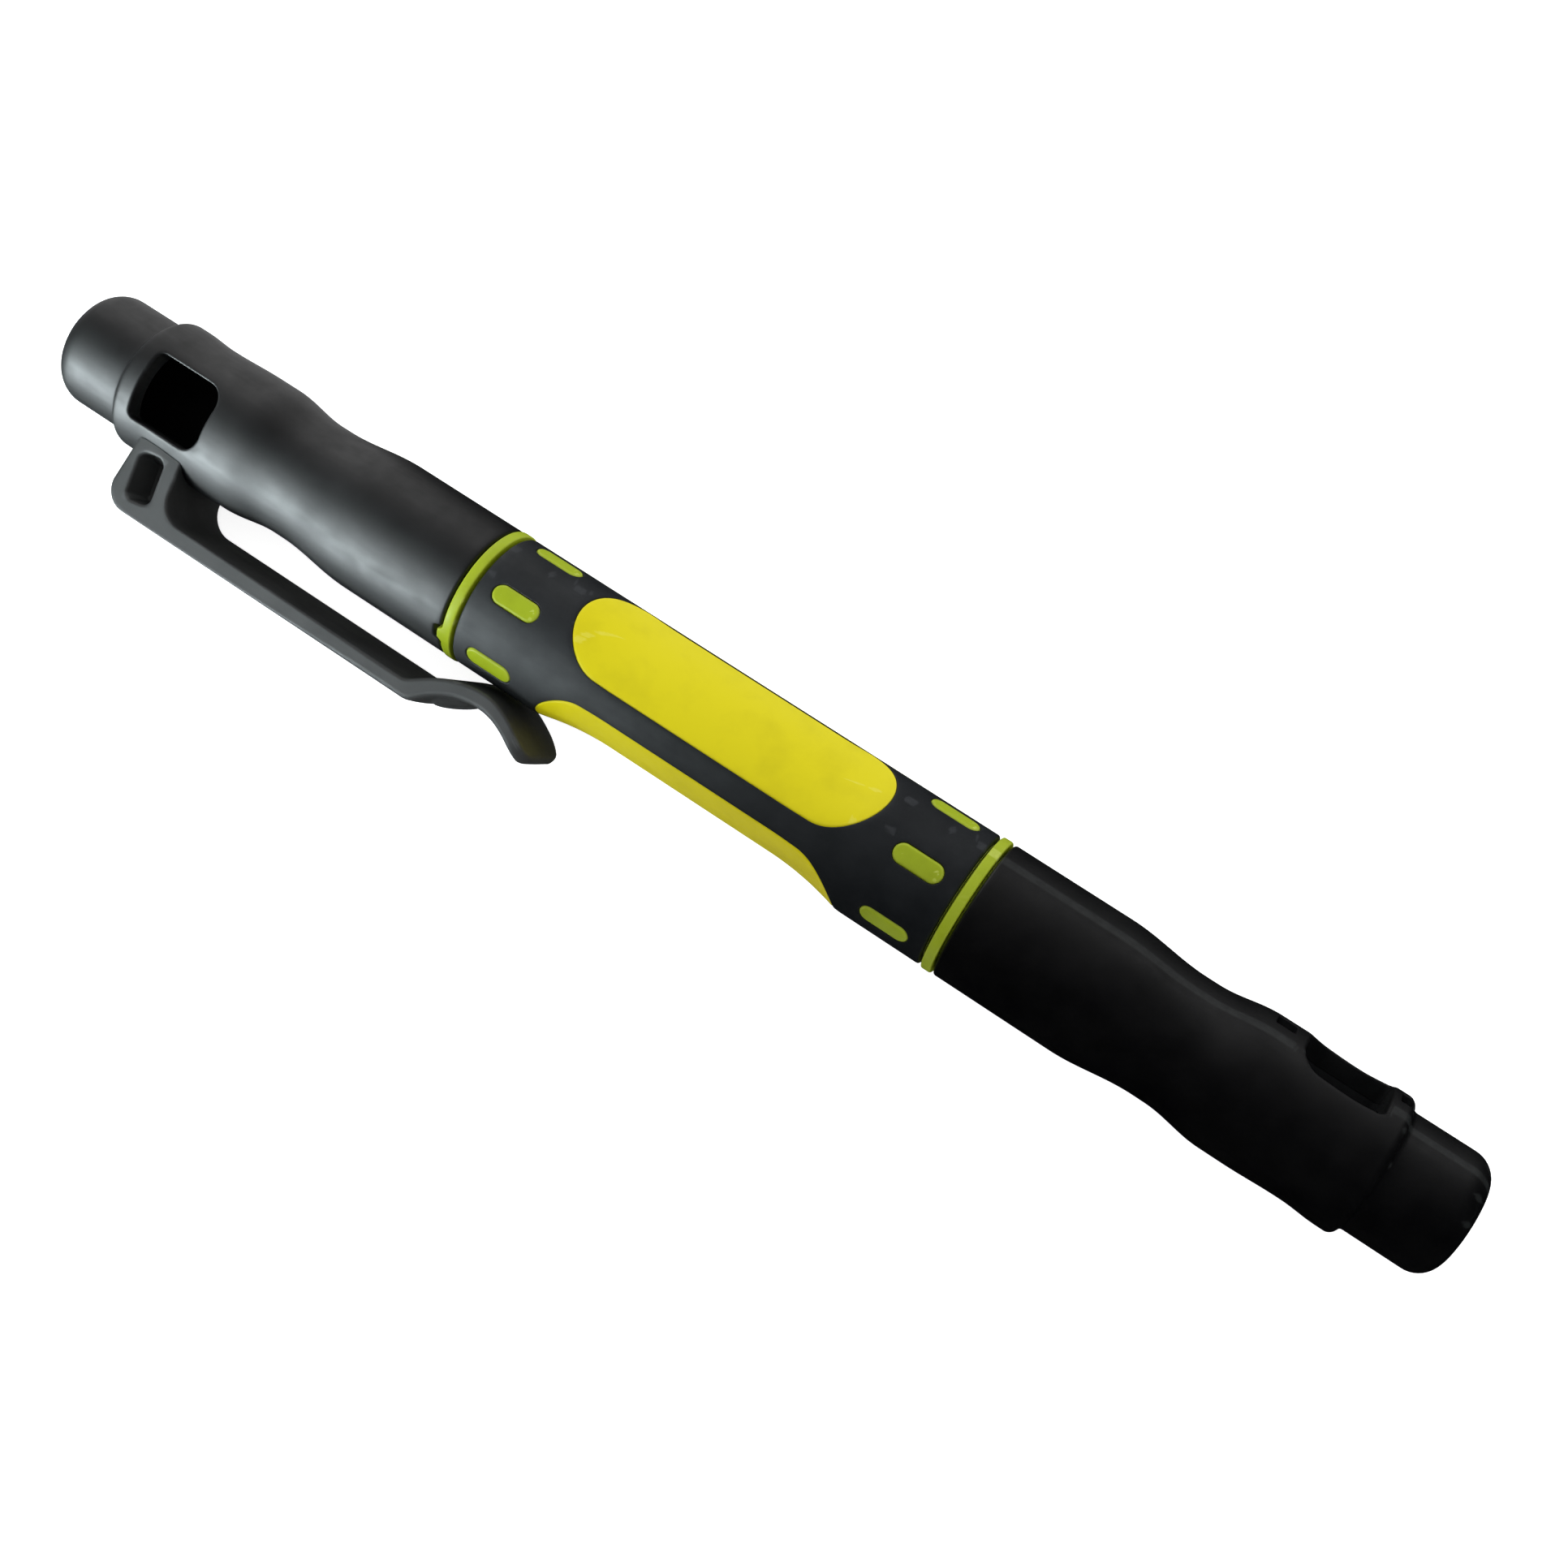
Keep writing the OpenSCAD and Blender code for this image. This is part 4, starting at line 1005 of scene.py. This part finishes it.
def clip_foot_rows(count):
    """Rows of the foot's straight part, which stands on the hood's round top."""
    share, across = section(FOOT_X - FOOT_IN_X, CLIP_HALF_W, 0.0)
    rows = []
    for s in np.linspace(0, 1, count, endpoint=False):
        x = (FOOT_X + FOOT_LEAN * s) * (1 - share) + (FOOT_IN_X - FOOT_LEAN * s) * share
        root = np.sqrt((cap_radius(x) + FOOT_GAP) ** 2 - across ** 2)
        top = (CLIP_OUT_R - FOOT_ROUND) * (1 - share) + (CLIP_OUT_R - CLIP_T - FOOT_FILLET) * share
        rows.append(np.stack([x, root + (top - root) * s, across], -1))
    return rows


def clip_arm_rows():
    """Rows of the foot's corner, the arm, the toe and the tip."""
    outer, inner = clip_rails()
    tip_x = (outer[-1, 0] + inner[-1, 0]) / 2
    rows = []
    for a, b in zip(outer, inner):
        thickness = max(float(np.linalg.norm(a - b)), 0.02)
        x = (a[0] + b[0]) / 2
        round_x = np.clip(tip_x + TIP_ROUND - x, 0, TIP_ROUND)
        half_w = CLIP_HALF_W - TIP_ROUND + math.sqrt(max(TIP_ROUND ** 2 - round_x ** 2, 0))
        crown = CLIP_CROWN * smooth((FOOT_X - 3 - x) / 4) * smooth((thickness - 0.4) / 1.0)
        share, across = section(thickness, half_w, crown)
        place_x = a[0] + (b[0] - a[0]) * share
        place_y = a[1] + (b[1] - a[1]) * share
        rise = lift_pad(place_x, across) * (share <= 0)
        rows.append(np.stack([place_x, place_y + rise, across], -1))
    rows[-1][:, 2] = zipped(rows[-1][:, 2])
    return rows


def clip_pocket(shell, rows, last_row, side):
    """Leaning blind pocket in one side of the foot, in the cell from the clip's first row to last_row."""
    j0, j1 = NEAR_SIDE
    block = rows[:last_row + 1, j0:j1 + 1, :2]
    edge = np.concatenate([block[:-1, 0], block[-1, :-1], block[:0:-1, -1], block[0, :0:-1]])
    half_len, half_w = POCKET_HALF
    slot = rounded_slot(-half_len, half_len, half_w, POCKET_ROUND, POCKET_ROUND)
    outline, out = slot(last_row, j1 - j0)
    up = np.array([-math.sin(POCKET_LEAN), math.cos(POCKET_LEAN)])
    in_x = np.array([-math.cos(POCKET_LEAN), -math.sin(POCKET_LEAN)])

    def flat(points):
        return np.array(POCKET) + points[:, :1] * up + points[:, 1:] * in_x

    def lift(points, depth):
        return clip_point(points[:, 0], points[:, 1], side * (CLIP_HALF_W - depth))

    mouth = flat(outline + out * POCKET_RIM)
    loops = [lift(edge + (mouth - edge) * share, 0) for share in np.linspace(0, 1, 6)]
    loops += [lift(flat(outline + out * POCKET_RIM * (1 - s)), POCKET_RIM * (1 - c))
              for s, c in quarter()[1:]]
    loops.append(lift(flat(outline - out * 0.1), POCKET_DEPTH))
    for share in (0.85, 0.5, 0.0):
        loops.append(lift(flat(outline * share), POCKET_DEPTH + 0.15))
    shell.grid(loops, wrap=True)


def pocket_clip():
    """Clip: foot with its pockets, arm, knee, toe with its lifting pad, and tip."""
    foot_count = 14
    rows = np.array(clip_foot_rows(foot_count) + clip_arm_rows())
    shell = Shell()
    last_row = foot_count + 9
    gaps = [(0, last_row, *NEAR_SIDE), (0, last_row, *FAR_SIDE)]
    shell.grid(clip_point(rows[..., 0], rows[..., 1], rows[..., 2]), wrap=True, gaps=gaps)
    for side in (1, -1):
        clip_pocket(shell, rows, last_row, side)
    root_x, across = rows[0, :, 0], rows[0, :, 2]
    loops = []
    for share, w in ((0.0, across), (0.5, across), (1.0, zipped(across))):
        x = root_x * (1 - share) + (FOOT_X + FOOT_IN_X) / 2 * share
        loops.append(clip_point(x, np.sqrt((cap_radius(x) + FOOT_GAP) ** 2 - w ** 2), w))
    shell.grid(loops, wrap=True)
    made = piece(shell, "pocket_clip_form", None, "clip_black", "pocket_clip")
    ends = [Vector(clip_point(x, CLIP_OUT_R, 0.0)) * MM for x in (BEND_FROM_X, BEND_TO_X)]
    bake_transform(made)


# ---- Lamp ----
def threaded(x, r, turn):
    """Radius of the lamp tube, with the helical grooves of its thread."""
    wave = np.abs(((x / THREAD_PITCH - turn / (2 * math.pi)) % 1) * 2 - 1)
    fade = smooth((x - THREAD[0]) / 0.6) * smooth((THREAD[1] - x) / 0.6)
    return r - THREAD_DEPTH * np.clip(wave * 1.6 - 0.3, 0, 1) * fade


def lamp_body():
    """Lime lamp tube: helical thread, ring, tenon, and the head with its button hole."""
    shell = Shell()
    turns = around(PANEL_TURN - 180)
    ring = rounded_ring(RING_X - RING_W + SEAM, RING_X - SEAM, THREAD_R, TENON_R)
    low, high, reach = BUTTON_CELL
    rows = stations([low, high], 0.2)
    outside = [
        (LAMP_BODY_X, THREAD_R - 0.3), (LAMP_BODY_X + 0.3, THREAD_R - 0.04),
        *[(x, THREAD_R) for x in stations([LAMP_BODY_X + 0.4, *THREAD, RING_X - RING_W - 0.2], 0.09)],
        *ring,
        (GROOVE[0], TENON_R), (GROOVE[0], GROOVE_R), (GROOVE[1], GROOVE_R), (GROOVE[1], TENON_R),
        *snap_bead(1, GROOVE[1] + 0.4, TENON_X - 0.4),
        (TENON_X - 0.12, TENON_R - 0.15), (TENON_X, TENON_R - 0.4), (TENON_X, HEAD_R),
        *[(x, HEAD_R) for x in rows],
        (HEAD_X - 1.4, HEAD_R), (HEAD_X - 0.6, HEAD_R - 0.14), (HEAD_X - 0.1, HEAD_R - 0.4),
        (HEAD_X, HEAD_R - 0.6), (HEAD_X, HEAD_MOUTH_R),
    ]
    inside = [
        (LAMP_BODY_X, CELL_BORE_R), (CELL_END_X, CELL_BORE_R), (CELL_END_X, HEAD_BORE_R),
        *[(x, HEAD_BORE_R) for x in rows],
        (LED_FLANGE_X + 1.4, HEAD_BORE_R), (LED_FLANGE_X + 1.4, LED_R + 0.05),
        (BEZEL_X, LED_R + 0.05), (BEZEL_X, HEAD_MOUTH_R), (HEAD_X, HEAD_MOUTH_R),
    ]
    j0, j1 = (180 - reach) // TURN_STEP, (180 + reach) // TURN_STEP
    gaps = []
    for outline in (outside, inside):
        i0 = min(range(len(outline)), key=lambda i: abs(outline[i][0] - low))
        gaps.append([(i0, i0 + len(rows) - 1, j0, j1)])
    hole_r = BUTTON_R + 0.05
    columns = np.radians(PANEL_TURN + np.arange(-reach, reach + 1, TURN_STEP))
    hole = Hole(shell, rows, columns, math.radians(PANEL_TURN),
                rounded_slot(BUTTON_X - hole_r, BUTTON_X + hole_r, hole_r, hole_r, hole_r))
    hole.through(tube(HEAD_R), tube(HEAD_BORE_R), 0.1)
    revolve(shell, outside, turns, gaps=gaps[0], skin=threaded)
    revolve(shell, inside, turns, gaps=gaps[1])
    revolve(shell, [outside[0], inside[0]], turns)
    piece(shell, "lamp_body_form", "lamp_unit", "core_lime", "lamp_body")


def lamp_led():
    """Clear round lens of the lamp, with its flange."""
    lens = Shell()
    dome_x = LED_TIP_X - LED_R
    dome = [(dome_x + LED_R * s, LED_R * c) for s, c in quarter(12)]
    low, high = LED_FLANGE_X, LED_FLANGE_X + LED_FLANGE_T
    outline = [(low, 0), (low, LED_FLANGE_R - 0.1), (low + 0.1, LED_FLANGE_R), (high - 0.1, LED_FLANGE_R),
               (high, LED_FLANGE_R - 0.1), (high, LED_R), (high + 2, LED_R), *dome]
    revolve(lens, outline, around())
    piece(lens, "lamp_lens", "lamp_unit", "led_clear", "lamp_led")


def lamp_leads():
    """The lamp's two leads, and the metal cup that they run to inside the lens."""
    leads = Shell()
    ring = np.linspace(0, 2 * math.pi, 16, endpoint=False)
    outline = ((BOARD_X, 0), (BOARD_X, LEAD_R), (LED_FLANGE_X, LEAD_R), (CUP_X, LEAD_R), (CUP_X, 0))
    for side in (-1, 1):
        middle_y = AXIS_Y + side * LEAD_PITCH / 2
        leads.grid([
            np.stack([np.full(16, x), middle_y + r * np.cos(ring), AXIS_Z + r * np.sin(ring)], -1)
            for x, r in outline], wrap=True)
    low, high, rim = CUP_X + 0.02, CUP_X + CUP_DEPTH, CUP_X + 2 * CUP_DEPTH
    cup = [(low, 0), (low, CUP_R - 0.4), (rim, CUP_R), (rim, CUP_R - 0.15), (high, CUP_R - 0.7), (high, 0)]
    revolve(leads, cup, around())
    piece(leads, "lamp_leads", "lamp_unit", "cell_steel")


def cell_spring():
    """Conical coil spring behind the cells, wound from one wire."""
    shell = Shell()
    wire = 0.16
    coils = 3.5
    s = np.linspace(0, 1, 160)[:, None]
    ring = np.linspace(0, 2 * math.pi, 10, endpoint=False)
    size = wire * ((s > 0) & (s < 1))
    x = SPRING_X + SPRING_LEN * s + size * np.sin(ring)
    radius = SPRING_R[0] + (SPRING_R[1] - SPRING_R[0]) * s + size * np.cos(ring)
    shell.grid(place(x, radius, 2 * math.pi * coils * s), wrap=True)
    piece(shell, "cell_spring_coil", "lamp_unit", "contact_brass", "cell_spring")


def push_button():
    """Round soft button, its top dished and its rim rounded, in the side of the lamp's head."""
    shell = Shell()
    turn = math.radians(PANEL_TURN)
    ring = np.linspace(0, 2 * math.pi, 48, endpoint=False)
    rim = 0.22
    dish = 0.12
    top = BUTTON_TOP_R
    loops = [beside(BUTTON_X + r * np.cos(ring), r * np.sin(ring), np.full(48, BUTTON_FLOOR_R), turn)
             for r in (0, BUTTON_R)]
    outline = [(BUTTON_R - rim * (1 - c), top - rim * (1 - s)) for s, c in quarter()]
    outline += [(BUTTON_R - 2 * rim, top - 0.02), (0.7, top - 0.1), (0.3, top - dish), (0, top - dish)]
    for r, h in outline:
        w = r * np.sin(ring)
        loops.append(beside(BUTTON_X + r * np.cos(ring), w, h - top + np.sqrt(top ** 2 - w ** 2), turn))
    shell.grid(loops, wrap=True)
    piece(shell, "push_button_cap", "button", "button_yellow", "push_button")


# ---- CAD nodes that keep their own shape ----
KEPT = {
    "seal_cup": "cup_soft", "lamp_cap_liner": "liner_black", "nib_holder": "holder_white",
    "felt_nib": "nib_felt", "ink_store": "store_fibre", "store_plug": "plug_grey",
    "nib_seal_ring": "seal_rubber", "lamp_seal_ring": "seal_rubber",
    "button_cell_1": "cell_steel", "button_cell_2": "cell_steel", "button_cell_3": "cell_steel",
    "cell_plug": "plug_grey", "contact_strip": "contact_brass", "lamp_board": "board_green",
    "lamp_bezel": "bezel_chrome", "switch_dome": "cell_steel",
}


def dress_kept_nodes():
    """Gives each kept CAD node its material."""
    for node, name in KEPT.items():
        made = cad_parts[node]
        made.data.materials.clear()
        made.data.materials.append(MATERIALS[name])


# ---- Floor, light and camera ----
def floor():
    """Wide pale floor just under the pen, lit a little from within as on a light table."""
    mesh = bpy.data.meshes.new("floor")
    bm = bmesh.new()
    bmesh.ops.create_grid(bm, x_segments=1, y_segments=1, size=3.0)
    bm.to_mesh(mesh)
    bm.free()
    made = bpy.data.objects.new("floor", mesh)
    made.location.z = -0.0001
    made.visible_glossy = False
    bpy.context.scene.collection.objects.link(made)
    g = Graph("floor_white")
    g.colour(g.ramp(g.noise(60, 2), (0.3, (0.80, 0.80, 0.80, 1)), (0.7, (0.82, 0.82, 0.82, 1))))
    g.set(Roughness=0.9, Specular_IOR_Level=0.0, Emission_Strength=0.82)
    g.shader.inputs["Emission Color"].default_value = (1, 1, 1, 1)
    made.data.materials.append(g.material)


def soft_box(name, spot, target, size, power, colour=(1, 1, 1), spread=180):
    """Square area lamp at a spot, turned to a target, all in metres."""
    data = bpy.data.lights.new(name, "AREA")
    data.size = size
    data.energy = power
    data.color = colour
    data.spread = math.radians(spread)
    lamp = bpy.data.objects.new(name, data)
    lamp.location = spot
    lamp.rotation_euler = (Vector(target) - Vector(spot)).to_track_quat("-Z", "Y").to_euler()
    lamp.visible_camera = False
    bpy.context.scene.collection.objects.link(lamp)


def lights():
    """White surroundings, small lights near the left cap, and wide ones beyond the pen."""
    world = bpy.data.worlds.new("studio")
    bpy.context.scene.world = world
    world.cycles_visibility.glossy = False
    world.use_nodes = True
    tree = world.node_tree
    background = tree.nodes["Background"]
    way = tree.nodes.new("ShaderNodeTexCoord").outputs["Generated"]
    facing = tree.nodes.new("ShaderNodeVectorMath")
    facing.operation = "DOT_PRODUCT"
    facing.inputs[1].default_value = (0.0, 0.45, 0.89)
    level = tree.nodes.new("ShaderNodeMapRange")
    for key, value in (("From Min", 0.1), ("From Max", 0.9), ("To Min", 0.13), ("To Max", 1.42)):
        level.inputs[key].default_value = value
    tree.links.new(way, facing.inputs[0])
    tree.links.new(facing.outputs["Value"], level.inputs["Value"])
    tree.links.new(level.outputs["Result"], background.inputs["Strength"])
    background.inputs["Color"].default_value = (1, 1, 1, 1)
    soft_box("window_light", (-0.105, -0.085, 0.035), (-0.06, 0.0, 0.006), 0.07, 0.0235,
             colour=(0.86, 0.97, 1.0), spread=32)
    soft_box("upper_light", (-0.075, -0.06, 0.085), (-0.039, 0.0, 0.008), 0.06, 0.0045,
             colour=(0.9, 0.98, 1.0), spread=30)
    soft_box("table_light", (-0.1, 0.062, 0.0004), (-0.1, 0.062, 1.0), 0.11, 0.028)
    soft_box("far_light", (-0.3, 0.32, 0.13), (-0.05, 0.0, 0.0), 0.3, 0.35)
    soft_box("edge_light", (0.08, 0.3, 0.05), (0.05, 0.0, 0.006), 0.16, 0.05)


def camera():
    """The view from above and to the right, the pen running down across the picture."""
    data = bpy.data.cameras.new("camera")
    data.sensor_width = 36
    data.lens = CAMERA_LENS
    data.clip_start = 0.01
    made = bpy.data.objects.new("camera", data)
    spot = Vector(CAMERA_SPOT) * MM
    look = (Vector(CAMERA_TARGET) * MM - spot).normalized()
    right = look.cross(Vector((0, 1, 0))).normalized()
    base = Matrix((right, right.cross(look), -look)).transposed().to_4x4()
    roll = Matrix.Rotation(math.radians(CAMERA_ROLL), 4, "Z")
    made.matrix_world = Matrix.Translation(spot) @ base @ roll
    bpy.context.scene.collection.objects.link(made)
    bpy.context.scene.camera = made
    bpy.context.scene.view_settings.view_transform = "Standard"


caps()
grip_sleeve()
grip_panels()
dash_pads()
barrel_core()
pocket_clip()
lamp_body()
lamp_led()
lamp_leads()
cell_spring()
push_button()
dress_kept_nodes()
floor()
lights()
camera()
